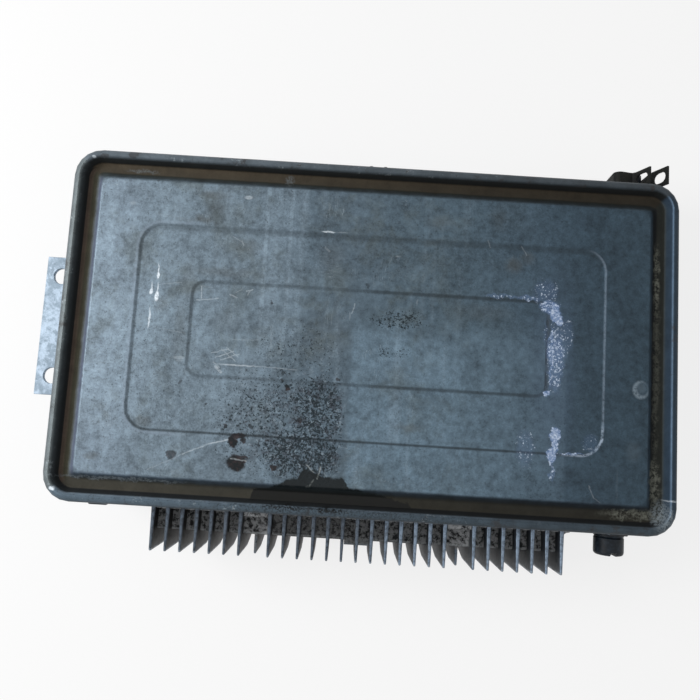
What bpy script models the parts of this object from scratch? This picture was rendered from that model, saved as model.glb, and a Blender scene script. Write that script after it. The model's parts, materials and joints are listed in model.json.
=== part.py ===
"""Engine control unit in a pressed metal box, lying on its base with the cover upwards.

Metres, +Z up. +X runs along the long side, away from the mounting bracket. The finned heat
sink is on the -Y wall and the harness socket on the +Y wall. The origin is the middle of the
base, which is the face that the unit lies on.
"""

import math

import bmesh
import bpy
from mathutils import Vector

# Clearances
SEAT_GAP = 0.0003
BORE_CLEARANCE = 0.0003
WELD_OVERLAP = 0.0005

# Pressed cover
COVER_LENGTH = 0.256
COVER_WIDTH = 0.1468
COVER_CORNER_RADIUS = 0.0115
COVER_SHEET = 0.0012
SHOULDER_HEIGHT = 0.046
SKIRT_DEPTH = 0.008
RIM_REACH = 0.0028
RIM_RISE = 0.0029
RIM_DROP = 0.0016
RIM_WALL_TOP = 0.0036
RIM_WALL_FOOT = 0.0052
GROOVE_DEPTH = 0.0035
GROOVE_WIDTH = 0.0032
GROOVE_SLOPE = 0.0042
FIELD_DEPTH = 0.0006
FIELD_CORNER_RADIUS = 0.0042
OUTER_PANEL_MARGIN = 0.0306
OUTER_PANEL_RADIUS = 0.0092
OUTER_PANEL_STEP = 0.0008
INNER_PANEL_MARGIN = 0.0231
INNER_PANEL_RADIUS = 0.005
INNER_PANEL_STEP = 0.0006
PANEL_STEP_RUN = 0.0017
LUG_WIDTH = 0.0074
LUG_STAND = 0.0006
LUG_HEIGHT = 0.0058
LUG_TAIL = 0.0010
LONG_SIDE_LUG_INSET = 0.075
HEAT_SINK_SIDE_LUG_INSET = 0.0226
SHORT_SIDE_LUG_INSET = 0.0204
PRY_NOTCH_WIDTH = 0.0044
PRY_NOTCH_HEIGHT = 0.0068
PRY_LIP_WIDTH = 0.0016
PRY_LIP_STAND = 0.0004

# Tray and gasket
TRAY_SHEET = 0.0015
TRAY_TOP_DROP = 0.0039
TRAY_FLOOR_RADIUS = 0.003
GASKET_WIDTH = 0.0014
GASKET_HEIGHT = 0.0014
DIMPLE_DIAMETER = 0.0130
DIMPLE_DEPTH = 0.0024

# Heat sink
FIN_PITCH = 0.006
FIN_END_ROOM = 0.0435
FIN_REACH = 0.0172
FIN_ROOT_THICKNESS = 0.0017
FIN_TIP_THICKNESS = 0.001
FIN_TOP_ROUND = 0.00035
FIN_TOP_DROP = 0.007
FIN_FOOT = 0.002
FIN_TAPER_HEIGHT = 0.0123
FIN_TAPER = 0.0027
SHORT_FIN_DROP = 0.0141
SINK_PLATE = 0.0024
SINK_END_FILLET = 0.0026
SHELF_DROP = 0.0135
SHELF_REACH = 0.0093
SHELF_THICKNESS = 0.003
SHELF_EDGE_RADIUS = 0.0012
SHELF_TAB_WIDTH = 0.0102
SHELF_TAB_REACH = 0.002
PAD_WIDTH = 0.0098
PAD_REACH = 0.0012
PAD_DROP = 0.008
BOSS_DIAMETER = 0.009
BOSS_LENGTH = 0.005
SINK_SCREW_INSET_FINS = 2.5
SINK_SCREW_LOW_SHARE = 0.25
SINK_SCREW_HIGH_SHARE = 0.51

# Screws
SCREW_DIAMETER = 0.004
SCREW_HEAD_DIAMETER = 0.0076
SCREW_HEAD_HEIGHT = 0.0024
SCREW_LENGTH = 0.0075
SMALL_SCREW_DIAMETER = 0.003
SMALL_HEAD_DIAMETER = 0.0056
SMALL_HEAD_HEIGHT = 0.0018

# Mounting bracket
BRACKET_LENGTH = 0.0618
BRACKET_SHEET = 0.002
BRACKET_REACH = 0.0185
BRACKET_HEIGHT_SHARE = 0.5
BRACKET_LEG = 0.017
BRACKET_BEND_RADIUS = 0.0028
BRACKET_HOLE = 0.0071
BRACKET_HOLE_SPACING = 0.0447
BRACKET_HOLE_EDGE = 0.0068
RIVET_SPACING = 0.040
RIVET_DROP = 0.0105
RIVET_DIAMETER = 0.0036
RIVET_HEAD_DIAMETER = 0.0072
RIVET_HEAD_HEIGHT = 0.0016
RIVET_TAIL_DIAMETER = 0.0056
RIVET_TAIL_HEIGHT = 0.0018

# Trim potentiometer and its screw cap
TRIM_INSET = 0.0215
TRIM_DROP = 0.016
CAP_DIAMETER = 0.0123
CAP_LENGTH = 0.0115
CAP_BORE = 0.009
CAP_END = 0.0032
CAP_SLOT_WIDTH = 0.0024
CAP_SLOT_DEPTH = 0.0016
CAP_EDGE_RADIUS = 0.0013
CAP_GRIP_START = 0.004
CAP_GRIP_GROOVE = 0.0004
TRIM_BODY_DIAMETER = 0.0165
TRIM_BODY_LENGTH = 0.009
TRIM_BUSH_LENGTH = 0.006
TRIM_SHAFT_DIAMETER = 0.003
TRIM_SHAFT_LENGTH = 0.0012

# Harness socket
SOCKET_INSET = 0.0151
SOCKET_DROP = 0.024
SOCKET_WIDTH = 0.0112
SOCKET_HEIGHT = 0.0190
SOCKET_WALL = 0.0015
SOCKET_RADIUS = 0.0028
SOCKET_REACH = 0.0106
SOCKET_FLANGE_WIDTH = 0.0085
SOCKET_FLANGE_THICKNESS = 0.0024
SOCKET_SCREW_INSET = 0.0033
SOCKET_SCREW_SPACING = 0.0120
PIN_COLUMNS = 3
PIN_ROWS = 6
PIN_PITCH = 0.00254
PIN_THICKNESS = 0.0008
PIN_RECESS = 0.0064
INSERT_BACK = 0.0100

# Harness clamp strap
STRAP_WIDTH = 0.008
STRAP_SHEET = 0.0008
STRAP_LEFT_SLACK = 0.0012
STRAP_RIGHT_SLACK = 0.0016
STRAP_TOP_SLACK = 0.0015
STRAP_CORNER_RADIUS = 0.0026
STRAP_EAR_HEIGHT = 0.0096
STRAP_EAR_LEAN = math.radians(20)
STRAP_EAR_GAP = 0.0077
STRAP_EAR_BEND = 0.0016
STRAP_HOLE_WIDTH = 0.0048
STRAP_HOLE_LENGTH = 0.0068
STRAP_HOLE_DROP = 0.0012

# Circuit board
BOARD_END_MARGIN = 0.006
BOARD_THICKNESS = 0.0016
BOARD_BACK_MARGIN = 0.0045
BOARD_FRONT_MARGIN = 0.0105
SPACER_HEIGHT = 0.006
SPACER_DIAMETER = 0.006
SPACER_INSET = 0.008
SPACER_SOCKET_INSET = 0.034
LEG_THICKNESS = 0.0004
LEG_WIDTH = 0.0008
CHIP_PITCH = 0.00254
CHIP_STAND = 0.0008
WIDE_CHIP = 0.0136
NARROW_CHIP = 0.0064
CHIP_HEIGHT = 0.0042
CAPACITOR_DIAMETER = 0.016
SMALL_CAPACITOR_DIAMETER = 0.010
CAPACITOR_HEIGHT_SHARE = 0.85
SMALL_CAPACITOR_HEIGHT_SHARE = 0.55
CRIMP_HEIGHT = 0.0026
CRIMP_DEPTH = 0.0006
RELAY_LENGTH = 0.024
RELAY_WIDTH = 0.020
RELAY_HEIGHT_SHARE = 0.58
CRYSTAL_LENGTH = 0.0112
CRYSTAL_THICKNESS = 0.0046
CRYSTAL_HEIGHT_SHARE = 0.43
RESISTOR_PACK_LENGTH = 0.020
RESISTOR_PACK_THICKNESS = 0.0025
RESISTOR_PACK_HEIGHT = 0.0055
CHOKE_RADIUS = 0.0085
CHOKE_WIRE_RADIUS = 0.004

# Places on the board, as shares of its half length and half depth from its middle
MICROPROCESSOR_SPOT = (-0.29, 0.43)
PROGRAM_MEMORY_SPOT = (0.30, 0.43)
INPUT_INTERFACE_SPOT = (0.27, 0.02)
OUTPUT_DRIVER_SPOT = (-0.24, -0.02)
CAPACITOR_1_SPOT = (-0.77, 0.56)
CAPACITOR_2_SPOT = (-0.77, 0.21)
SMALL_CAPACITOR_SPOT = (-0.55, 0.08)
RELAY_SPOT = (-0.77, -0.43)
CRYSTAL_SPOT = (-0.62, 0.72)
RESISTOR_PACK_SPOT = (0.62, -0.35)
CHOKE_SPOT = (0.72, 0.11)

# Power transistors and the bar that clamps them
TRANSISTOR_WIDTH = 0.0156
TRANSISTOR_HEIGHT_SHARE = 0.63
TRANSISTOR_THICKNESS = 0.0048
TRANSISTOR_STAND = 0.003
PAD_SHEET = 0.0006
CLAMP_BAR_HEIGHT = 0.009
CLAMP_BAR_THICKNESS = 0.0025
CLAMP_SCREW_INSET_FINS = 4.5

# Smoothness
CORNER_STEPS = 5
FINE_CORNER_STEPS = 4
SCREW_STEPS = 12
ROUND_STEPS = 20

# Sizes that follow from the ones above
COVER_HALF_LENGTH = COVER_LENGTH / 2
COVER_HALF_WIDTH = COVER_WIDTH / 2
TRAY_INSET = COVER_SHEET + SEAT_GAP
TRAY_HALF_LENGTH = COVER_HALF_LENGTH - TRAY_INSET
TRAY_HALF_WIDTH = COVER_HALF_WIDTH - TRAY_INSET
TRAY_CORNER_RADIUS = COVER_CORNER_RADIUS - TRAY_INSET
TRAY_TOP = SHOULDER_HEIGHT - TRAY_TOP_DROP
SKIRT_BOTTOM = SHOULDER_HEIGHT - SKIRT_DEPTH
INNER_HALF_LENGTH = TRAY_HALF_LENGTH - TRAY_SHEET
INNER_HALF_WIDTH = TRAY_HALF_WIDTH - TRAY_SHEET
DIMPLE_TOP = TRAY_SHEET + DIMPLE_DEPTH
SPACER_BOTTOM = DIMPLE_TOP + SEAT_GAP
SPACER_TOP = SPACER_BOTTOM + SPACER_HEIGHT
BOARD_BOTTOM = SPACER_TOP + SEAT_GAP
BOARD_TOP = BOARD_BOTTOM + BOARD_THICKNESS
BOARD_SEAT = BOARD_TOP + SEAT_GAP
BOARD_HALF_LENGTH = INNER_HALF_LENGTH - BOARD_END_MARGIN
BOARD_FRONT = -INNER_HALF_WIDTH + BOARD_FRONT_MARGIN
BOARD_BACK = INNER_HALF_WIDTH - BOARD_BACK_MARGIN
SINK_BACK = -(TRAY_HALF_WIDTH + SEAT_GAP)
SINK_FACE = SINK_BACK - SINK_PLATE
SINK_TOP = SKIRT_BOTTOM - SEAT_GAP
SCREW_HOLE = SCREW_DIAMETER + 2 * BORE_CLEARANCE
SMALL_SCREW_HOLE = SMALL_SCREW_DIAMETER + 2 * BORE_CLEARANCE
BOARD_MIDDLE = (BOARD_FRONT + BOARD_BACK) / 2
BOARD_HALF_DEPTH = (BOARD_BACK - BOARD_FRONT) / 2
HEADROOM = SHOULDER_HEIGHT - GROOVE_DEPTH - COVER_SHEET - BOARD_TOP

OUTER_PANEL_LENGTH = COVER_LENGTH - 2 * OUTER_PANEL_MARGIN
OUTER_PANEL_WIDTH = COVER_WIDTH - 2 * OUTER_PANEL_MARGIN
INNER_PANEL_LENGTH = OUTER_PANEL_LENGTH - 2 * INNER_PANEL_MARGIN
INNER_PANEL_WIDTH = OUTER_PANEL_WIDTH - 2 * INNER_PANEL_MARGIN

FIN_COUNT = 1 + 2 * int((COVER_HALF_LENGTH - FIN_END_ROOM) / FIN_PITCH)
FIN_SIDE_COUNT = (FIN_COUNT - 1) / 2
LAST_FIN_X = FIN_SIDE_COUNT * FIN_PITCH
SHORT_FINS = (FIN_COUNT // 4, FIN_COUNT - 1 - FIN_COUNT // 4)
SINK_SCREW_X = (FIN_SIDE_COUNT - SINK_SCREW_INSET_FINS) * FIN_PITCH
SINK_SCREW_LOW = SINK_SCREW_LOW_SHARE * SHOULDER_HEIGHT
SINK_SCREW_HIGH = SINK_SCREW_HIGH_SHARE * SHOULDER_HEIGHT
CLAMP_SCREW_X = (FIN_SIDE_COUNT - CLAMP_SCREW_INSET_FINS) * FIN_PITCH
TRANSISTOR_SPACING = 0.6 * CLAMP_SCREW_X
TRANSISTOR_HEIGHT = TRANSISTOR_HEIGHT_SHARE * HEADROOM
TRANSISTOR_Z = BOARD_TOP + TRANSISTOR_STAND + TRANSISTOR_HEIGHT / 2

BRACKET_TOP = BRACKET_HEIGHT_SHARE * SHOULDER_HEIGHT
TRIM_X = COVER_HALF_LENGTH - TRIM_INSET
TRIM_Z = SHOULDER_HEIGHT - TRIM_DROP
SOCKET_X = COVER_HALF_LENGTH - SOCKET_INSET
SOCKET_Z = SHOULDER_HEIGHT - SOCKET_DROP
SOCKET_FLANGE_LEFT = SOCKET_X - SOCKET_WIDTH / 2 - SOCKET_FLANGE_WIDTH
SOCKET_SCREW_X = SOCKET_FLANGE_LEFT + SOCKET_SCREW_INSET
SOCKET_FLANGE_FACE = INNER_HALF_WIDTH - SEAT_GAP
SOCKET_MOUTH = TRAY_HALF_WIDTH + SOCKET_REACH

SPACER_SPOTS = (
    (-BOARD_HALF_LENGTH + SPACER_INSET, BOARD_FRONT + SPACER_INSET),
    (BOARD_HALF_LENGTH - SPACER_INSET, BOARD_FRONT + SPACER_INSET),
    (-BOARD_HALF_LENGTH + SPACER_INSET, BOARD_BACK - SPACER_INSET),
    (BOARD_HALF_LENGTH - SPACER_SOCKET_INSET, BOARD_BACK - SPACER_INSET),
)

for old in list(bpy.data.objects):
    bpy.data.objects.remove(old)

PARTS = bpy.data.collections.new("engine_control_unit")
CUTTERS = bpy.data.collections.new("cutters_and_joined_shapes")
bpy.context.scene.collection.children.link(PARTS)
bpy.context.scene.collection.children.link(CUTTERS)


def material(name, colour, metallic, roughness):
    made = bpy.data.materials.new(name)
    made.use_nodes = True
    shader = made.node_tree.nodes["Principled BSDF"]
    shader.inputs["Base Color"].default_value = (*colour, 1.0)
    shader.inputs["Metallic"].default_value = metallic
    shader.inputs["Roughness"].default_value = roughness
    made.diffuse_color = (*colour, 1.0)
    return made


COVER_METAL = material("weathered_cover_metal", (0.17, 0.22, 0.26), 0.75, 0.45)
TRAY_METAL = material("tray_metal", (0.22, 0.25, 0.27), 0.8, 0.45)
BLACK_CASTING = material("black_casting", (0.025, 0.025, 0.026), 0.3, 0.55)
GALVANISED = material("galvanised_steel", (0.55, 0.58, 0.62), 0.85, 0.35)
BLACK_MOULDING = material("black_moulding", (0.02, 0.02, 0.022), 0.0, 0.45)
STRAP_STEEL = material("blackened_strap_steel", (0.05, 0.045, 0.035), 0.6, 0.5)
RUBBER = material("gasket_rubber", (0.03, 0.03, 0.03), 0.0, 0.8)
PLATED_STEEL = material("plated_steel", (0.5, 0.48, 0.42), 0.9, 0.35)
BOARD_GREEN = material("board_laminate", (0.05, 0.16, 0.07), 0.0, 0.4)
CHIP_BLACK = material("chip_moulding", (0.03, 0.03, 0.03), 0.0, 0.5)
CAN_METAL = material("component_can", (0.45, 0.46, 0.48), 0.9, 0.3)
SLEEVE_BLUE = material("capacitor_sleeve", (0.03, 0.06, 0.16), 0.0, 0.35)
BRASS = material("contact_metal", (0.62, 0.48, 0.22), 0.9, 0.3)


def place(name, shape, finish, collection=PARTS):
    """Turns a bmesh into a named object with its own material."""
    mesh = bpy.data.meshes.new(name)
    shape.to_mesh(mesh)
    shape.free()
    mesh.materials.append(finish)
    made = bpy.data.objects.new(name, mesh)
    collection.objects.link(made)
    if collection is CUTTERS:
        made.hide_render = True
        made.display_type = "WIRE"
    return made


def smooth(made, angle=math.radians(35)):
    made.data.shade_smooth()
    made.data.set_sharp_from_angle(angle=angle)
    return made


def solidify(made, thickness):
    """Gives an open sheet its thickness, behind the face that was drawn."""
    shell = made.modifiers.new("sheet_thickness", "SOLIDIFY")
    shell.thickness = thickness
    shell.offset = -1.0
    shell.use_even_offset = True


def boolean(made, other, operation):
    step = made.modifiers.new(operation.lower() + "_" + other.name, "BOOLEAN")
    step.operation = operation
    step.solver = "EXACT"
    step.object = other


def cut(made, other):
    boolean(made, other, "DIFFERENCE")


def join(made, other):
    boolean(made, other, "UNION")


def bevel(made, width, segments=2, angle=math.radians(40)):
    edge = made.modifiers.new("rounded_edges", "BEVEL")
    edge.width = width
    edge.segments = segments
    edge.limit_method = "ANGLE"
    edge.angle_limit = angle


def add_box(shape, low, high):
    """Adds a box between two opposite corners."""
    corners = bmesh.ops.create_cube(shape, size=1.0)["verts"]
    for corner in corners:
        corner.co = Vector(
            high[axis] if corner.co[axis] > 0 else low[axis] for axis in range(3)
        )


def box_shape(low, high):
    shape = bmesh.new()
    add_box(shape, low, high)
    return shape


def add_rod(shape, radius, start, end, steps=ROUND_STEPS):
    """Adds a cylinder from start to end, along any direction."""
    start = Vector(start)
    end = Vector(end)
    along = end - start
    turn = Vector((0, 0, 1)).rotation_difference(along).to_matrix().to_4x4()
    turn.translation = (start + end) / 2
    bmesh.ops.create_cone(
        shape,
        cap_ends=True,
        segments=steps,
        radius1=radius,
        radius2=radius,
        depth=along.length,
        matrix=turn,
    )


def rod_shape(radius, start, end, steps=ROUND_STEPS):
    shape = bmesh.new()
    add_rod(shape, radius, start, end, steps)
    return shape


def ring_points(half_length, half_width, radius, height, steps=CORNER_STEPS):
    """A rounded rectangle at one height, anticlockwise seen from above."""
    points = []
    for corner, (side_x, side_y) in enumerate(((1, -1), (1, 1), (-1, 1), (-1, -1))):
        centre_x = side_x * (half_length - radius)
        centre_y = side_y * (half_width - radius)
        for step in range(steps + 1):
            angle = (corner - 1 + step / steps) * math.pi / 2
            across = radius * math.cos(angle)
            along = radius * math.sin(angle)
            points.append(Vector((centre_x + across, centre_y + along, height)))
    return points


def loft(rings, cap_start=False, cap_end=False, joined=False):
    """Walls between rings of equally many points, with a cap where one is asked for."""
    shape = bmesh.new()
    loops = [[shape.verts.new(point) for point in ring] for ring in rings]
    pairs = list(zip(loops, loops[1:]))
    if joined:
        pairs.append((loops[-1], loops[0]))
    for lower, upper in pairs:
        for here in range(len(lower)):
            after = (here + 1) % len(lower)
            shape.faces.new((lower[here], lower[after], upper[after], upper[here]))
    if cap_start:
        shape.faces.new(tuple(reversed(loops[0])))
    if cap_end:
        shape.faces.new(loops[-1])
    return shape


def prism(outline, start, end, axis):
    """A flat outline pushed along one axis: outline gives the other two axes in order."""
    others = [index for index in range(3) if index != axis]
    shape = bmesh.new()
    rings = []
    for place_along in (start, end):
        ring = []
        for first, second in outline:
            point = [0.0, 0.0, 0.0]
            point[others[0]] = first
            point[others[1]] = second
            point[axis] = place_along
            ring.append(shape.verts.new(point))
        rings.append(ring)
    for here in range(len(outline)):
        after = (here + 1) % len(outline)
        shape.faces.new((rings[0][here], rings[0][after], rings[1][after], rings[1][here]))
    shape.faces.new(tuple(reversed(rings[0])))
    shape.faces.new(rings[1])
    bmesh.ops.recalc_face_normals(shape, faces=shape.faces)
    return shape


def merged(shapes):
    """Several closed shapes in one mesh, none of them touching another."""
    whole = bmesh.new()
    for shape in shapes:
        mesh = bpy.data.meshes.new("loose_shape")
        shape.to_mesh(mesh)
        shape.free()
        whole.from_mesh(mesh)
        bpy.data.meshes.remove(mesh)
    return whole


def arc(centre, radius, start, end, steps):
    """Points of an arc in a plane, with both ends, angles in degrees."""
    points = []
    for step in range(steps + 1):
        angle = math.radians(start + (end - start) * step / steps)
        along = centre[0] + radius * math.cos(angle)
        across = centre[1] + radius * math.sin(angle)
        points.append((along, across))
    return points


def turned(name, profile, base, direction, finish, steps=ROUND_STEPS):
    """A turned piece: profile of (radius, height) from the top down, set at base along direction."""
    mesh = bpy.data.meshes.new(name)
    points = [(radius, 0.0, height) for radius, height in profile]
    edges = [(here, here + 1) for here in range(len(points) - 1)]
    mesh.from_pydata(points, edges, [])
    mesh.materials.append(finish)
    made = bpy.data.objects.new(name, mesh)
    PARTS.objects.link(made)
    lathe = made.modifiers.new("turned", "SCREW")
    lathe.steps = steps
    lathe.render_steps = steps
    lathe.use_merge_vertices = True
    lathe.merge_threshold = 0.00001
    made.location = base
    made.rotation_mode = "QUATERNION"
    made.rotation_quaternion = Vector((0, 0, 1)).rotation_difference(Vector(direction))
    return made


def ribbon(path, width_start, width_end, width_axis):
    """An open strip along a path in the plane across width_axis, ready for Solidify."""
    others = [index for index in range(3) if index != width_axis]
    shape = bmesh.new()
    rows = []
    for first, second in path:
        row = []
        for place_across in (width_start, width_end):
            point = [0.0, 0.0, 0.0]
            point[others[0]] = first
            point[others[1]] = second
            point[width_axis] = place_across
            row.append(shape.verts.new(point))
        rows.append(row)
    for before, after in zip(rows, rows[1:]):
        shape.faces.new((before[0], before[1], after[1], after[0]))
    return shape


def cover_rings():
    """The pressed cover's outer face, from the skirt's edge over the rim to the middle panel."""

    def ring(inset, drop, radius):
        half_length = COVER_HALF_LENGTH - inset
        half_width = COVER_HALF_WIDTH - inset
        return ring_points(half_length, half_width, radius, SHOULDER_HEIGHT - drop)

    def following(inset, drop):
        return ring(inset, drop, max(COVER_CORNER_RADIUS - inset, FIELD_CORNER_RADIUS))

    rings = [following(0.0, SKIRT_DEPTH)]
    shoulder_steps = 5
    for step in range(shoulder_steps + 1):
        angle = step / shoulder_steps * math.pi / 2
        inset = RIM_REACH * (1 - math.cos(angle))
        rings.append(following(inset, RIM_DROP - RIM_RISE * math.sin(angle)))
    crest = RIM_RISE - RIM_DROP
    wall_run = RIM_WALL_FOOT - RIM_WALL_TOP
    rings.append(following(RIM_WALL_TOP - 0.3 * wall_run, -0.86 * crest))
    rings.append(following(RIM_WALL_TOP, -0.4 * crest))
    rings.append(following(RIM_WALL_FOOT - 0.3 * wall_run, 0.78 * GROOVE_DEPTH))
    rings.append(following(RIM_WALL_FOOT, 0.95 * GROOVE_DEPTH))
    rings.append(following(RIM_WALL_FOOT + 0.45 * wall_run, GROOVE_DEPTH))
    groove_end = RIM_WALL_FOOT + GROOVE_WIDTH
    for share, rise in ((0.0, 0.0), (0.22, 0.124), (0.5, 0.5), (0.78, 0.876), (1.0, 1.0)):
        drop = GROOVE_DEPTH + (FIELD_DEPTH - GROOVE_DEPTH) * rise
        rings.append(following(groove_end + share * GROOVE_SLOPE, drop))

    def panel(length, width, radius, drop, step):
        """A shallow pressed step, rounded at its top and foot."""
        made = []
        for share, fall in ((0.5, 0.0), (0.17, 0.2), (-0.17, 0.8), (-0.5, 1.0)):
            out = share * PANEL_STEP_RUN
            height = SHOULDER_HEIGHT - drop - fall * step
            made.append(ring_points(length / 2 + out, width / 2 + out, radius + out, height))
        return made

    rings += panel(
        OUTER_PANEL_LENGTH, OUTER_PANEL_WIDTH, OUTER_PANEL_RADIUS, FIELD_DEPTH, OUTER_PANEL_STEP
    )
    rings += panel(
        INNER_PANEL_LENGTH,
        INNER_PANEL_WIDTH,
        INNER_PANEL_RADIUS,
        FIELD_DEPTH + OUTER_PANEL_STEP,
        INNER_PANEL_STEP,
    )
    return rings


def skirt_pad(centre, width, stand, along_x, side, bottom, top):
    """A pad that stands out from the skirt, sunk halfway into its sheet."""
    depth = COVER_SHEET / 2
    if along_x:
        outer = side * (COVER_HALF_WIDTH + stand)
        inner = side * (COVER_HALF_WIDTH - depth)
        low = (centre - width / 2, min(outer, inner), bottom)
        high = (centre + width / 2, max(outer, inner), top)
    else:
        outer = side * (COVER_HALF_LENGTH + stand)
        inner = side * (COVER_HALF_LENGTH - depth)
        low = (min(outer, inner), centre - width / 2, bottom)
        high = (max(outer, inner), centre + width / 2, top)
    return box_shape(low, high)


def make_cover():
    cover = place("top_cover", loft(cover_rings(), cap_end=True), COVER_METAL)
    smooth(cover, math.radians(50))
    solidify(cover, COVER_SHEET)
    bottom = SKIRT_BOTTOM - LUG_TAIL
    top = SKIRT_BOTTOM + LUG_HEIGHT
    long_side = COVER_HALF_LENGTH - LONG_SIDE_LUG_INSET
    sink_side = COVER_HALF_LENGTH - HEAT_SINK_SIDE_LUG_INSET
    short_side = COVER_HALF_WIDTH - SHORT_SIDE_LUG_INSET
    lugs = []
    for side in (-1, 1):
        lugs.append(skirt_pad(side * long_side, LUG_WIDTH, LUG_STAND, True, 1, bottom, top))
        lugs.append(skirt_pad(side * sink_side, LUG_WIDTH, LUG_STAND, True, -1, bottom, top))
        for spot in (-short_side, 0.0, short_side):
            lugs.append(skirt_pad(spot, LUG_WIDTH, LUG_STAND, False, side, bottom, top))
    lip_x = (PRY_NOTCH_WIDTH + PRY_LIP_WIDTH) / 2
    notch_top = SKIRT_BOTTOM + PRY_NOTCH_HEIGHT
    lip_bottom = SKIRT_BOTTOM + SEAT_GAP
    for side in (-1, 1):
        lugs.append(
            skirt_pad(side * lip_x, PRY_LIP_WIDTH, PRY_LIP_STAND, True, 1, lip_bottom, notch_top)
        )
    pads = place("cover_lugs", merged(lugs), COVER_METAL, CUTTERS)
    bevel(pads, LUG_STAND / 2, 1)
    join(cover, pads)
    notch = box_shape(
        (-PRY_NOTCH_WIDTH / 2, COVER_HALF_WIDTH - COVER_SHEET - SEAT_GAP / 2, SKIRT_BOTTOM - 0.002),
        (PRY_NOTCH_WIDTH / 2, COVER_HALF_WIDTH + 0.004, notch_top),
    )
    cut(cover, place("pry_notch", notch, COVER_METAL, CUTTERS))


def make_gasket():
    bottom = TRAY_TOP + SEAT_GAP
    top = bottom + GASKET_HEIGHT

    def ring(inset, height):
        return ring_points(
            TRAY_HALF_LENGTH - inset, TRAY_HALF_WIDTH - inset, TRAY_CORNER_RADIUS - inset, height
        )

    rings = (ring(0, bottom), ring(0, top), ring(GASKET_WIDTH, top), ring(GASKET_WIDTH, bottom))
    smooth(place("cover_gasket", loft(rings, joined=True), RUBBER))


def wall_bore(diameter, x, z, side, steps=SCREW_STEPS):
    """A round hole through the wall on the -Y (side -1) or +Y (side 1) side of the tray."""
    return rod_shape(
        diameter / 2,
        (x, side * (TRAY_HALF_WIDTH + 0.002), z),
        (x, side * (INNER_HALF_WIDTH - 0.002), z),
        steps,
    )


def make_tray():
    rings = []
    floor_steps = 3
    for step in range(floor_steps + 1):
        angle = step / floor_steps * math.pi / 2
        inset = TRAY_FLOOR_RADIUS * (1 - math.sin(angle))
        height = TRAY_FLOOR_RADIUS * (1 - math.cos(angle))
        rings.append(
            ring_points(
                TRAY_HALF_LENGTH - inset,
                TRAY_HALF_WIDTH - inset,
                TRAY_CORNER_RADIUS - inset,
                height,
            )
        )
    rings.append(
        ring_points(TRAY_HALF_LENGTH, TRAY_HALF_WIDTH, TRAY_CORNER_RADIUS, TRAY_TOP)
    )
    tray = place("housing_tray", loft(rings, cap_start=True), TRAY_METAL)
    smooth(tray)
    solidify(tray, TRAY_SHEET)

    wall = DIMPLE_DIAMETER / 2
    domes = [
        rod_shape(wall, (x, y, TRAY_SHEET - WELD_OVERLAP), (x, y, DIMPLE_TOP))
        for x, y in SPACER_SPOTS
    ]
    join(tray, place("floor_dimples", merged(domes), TRAY_METAL, CUTTERS))
    hollow = wall - TRAY_SHEET * 0.6
    hollows = [
        rod_shape(hollow, (x, y, -0.001), (x, y, DIMPLE_TOP - TRAY_SHEET)) for x, y in SPACER_SPOTS
    ]
    cut(tray, place("dimple_hollows", merged(hollows), TRAY_METAL, CUTTERS))

    holes = [
        rod_shape(SMALL_SCREW_HOLE / 2, (x, y, 0.001), (x, y, DIMPLE_TOP + 0.001), SCREW_STEPS)
        for x, y in SPACER_SPOTS
    ]
    for side in (-1, 1):
        for height in (SINK_SCREW_LOW, SINK_SCREW_HIGH):
            holes.append(wall_bore(SCREW_HOLE, side * SINK_SCREW_X, height, -1))
        holes.append(wall_bore(SCREW_HOLE, side * CLAMP_SCREW_X, TRANSISTOR_Z, -1))
        rivet_y = side * RIVET_SPACING / 2
        holes.append(
            rod_shape(
                RIVET_DIAMETER / 2 + BORE_CLEARANCE,
                (-TRAY_HALF_LENGTH - 0.002, rivet_y, BRACKET_TOP - RIVET_DROP),
                (-INNER_HALF_LENGTH + 0.002, rivet_y, BRACKET_TOP - RIVET_DROP),
                SCREW_STEPS,
            )
        )
        screw_z = SOCKET_Z + side * SOCKET_SCREW_SPACING / 2
        holes.append(wall_bore(SMALL_SCREW_HOLE, SOCKET_SCREW_X, screw_z, 1))
    holes.append(wall_bore(CAP_BORE, TRIM_X, TRIM_Z, -1, ROUND_STEPS))
    cut(tray, place("tray_holes", merged(holes), TRAY_METAL, CUTTERS))

    mouth = socket_outline(SOCKET_WIDTH + 2 * SEAT_GAP, SOCKET_HEIGHT + 2 * SEAT_GAP, SOCKET_RADIUS)
    opening = prism(mouth, INNER_HALF_WIDTH - 0.004, TRAY_HALF_WIDTH + 0.002, 1)
    cut(tray, place("socket_opening", opening, TRAY_METAL, CUTTERS))


def fin(number):
    """One cast fin: a drafted plan section with a round nose, lofted up to its top end."""
    x = (number - FIN_SIDE_COUNT) * FIN_PITCH
    tip = SINK_FACE - FIN_REACH
    drop = SHORT_FIN_DROP if number in SHORT_FINS else FIN_TOP_DROP
    top = SHOULDER_HEIGHT - drop
    root = SINK_FACE + WELD_OVERLAP
    nose = FIN_TIP_THICKNESS / 2

    def section(height, tip_y, shrink):
        side = FIN_ROOT_THICKNESS / 2 - shrink
        end = nose - shrink
        outline = [(x - side, root), (x - end, tip_y + nose)]
        outline += [(x - 0.6 * end, tip_y + 0.2 * nose), (x + 0.6 * end, tip_y + 0.2 * nose)]
        outline += [(x + end, tip_y + nose), (x + side, root)]
        return [Vector((across, along, height)) for across, along in outline]

    rings = [
        section(FIN_FOOT, tip + FIN_TAPER, 0.0),
        section(FIN_FOOT + FIN_TAPER_HEIGHT, tip, 0.0),
        section(top - FIN_TOP_ROUND, tip, 0.0),
        section(top, tip + FIN_TOP_ROUND, FIN_TOP_ROUND),
    ]
    return loft(rings, cap_start=True, cap_end=True)


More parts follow.
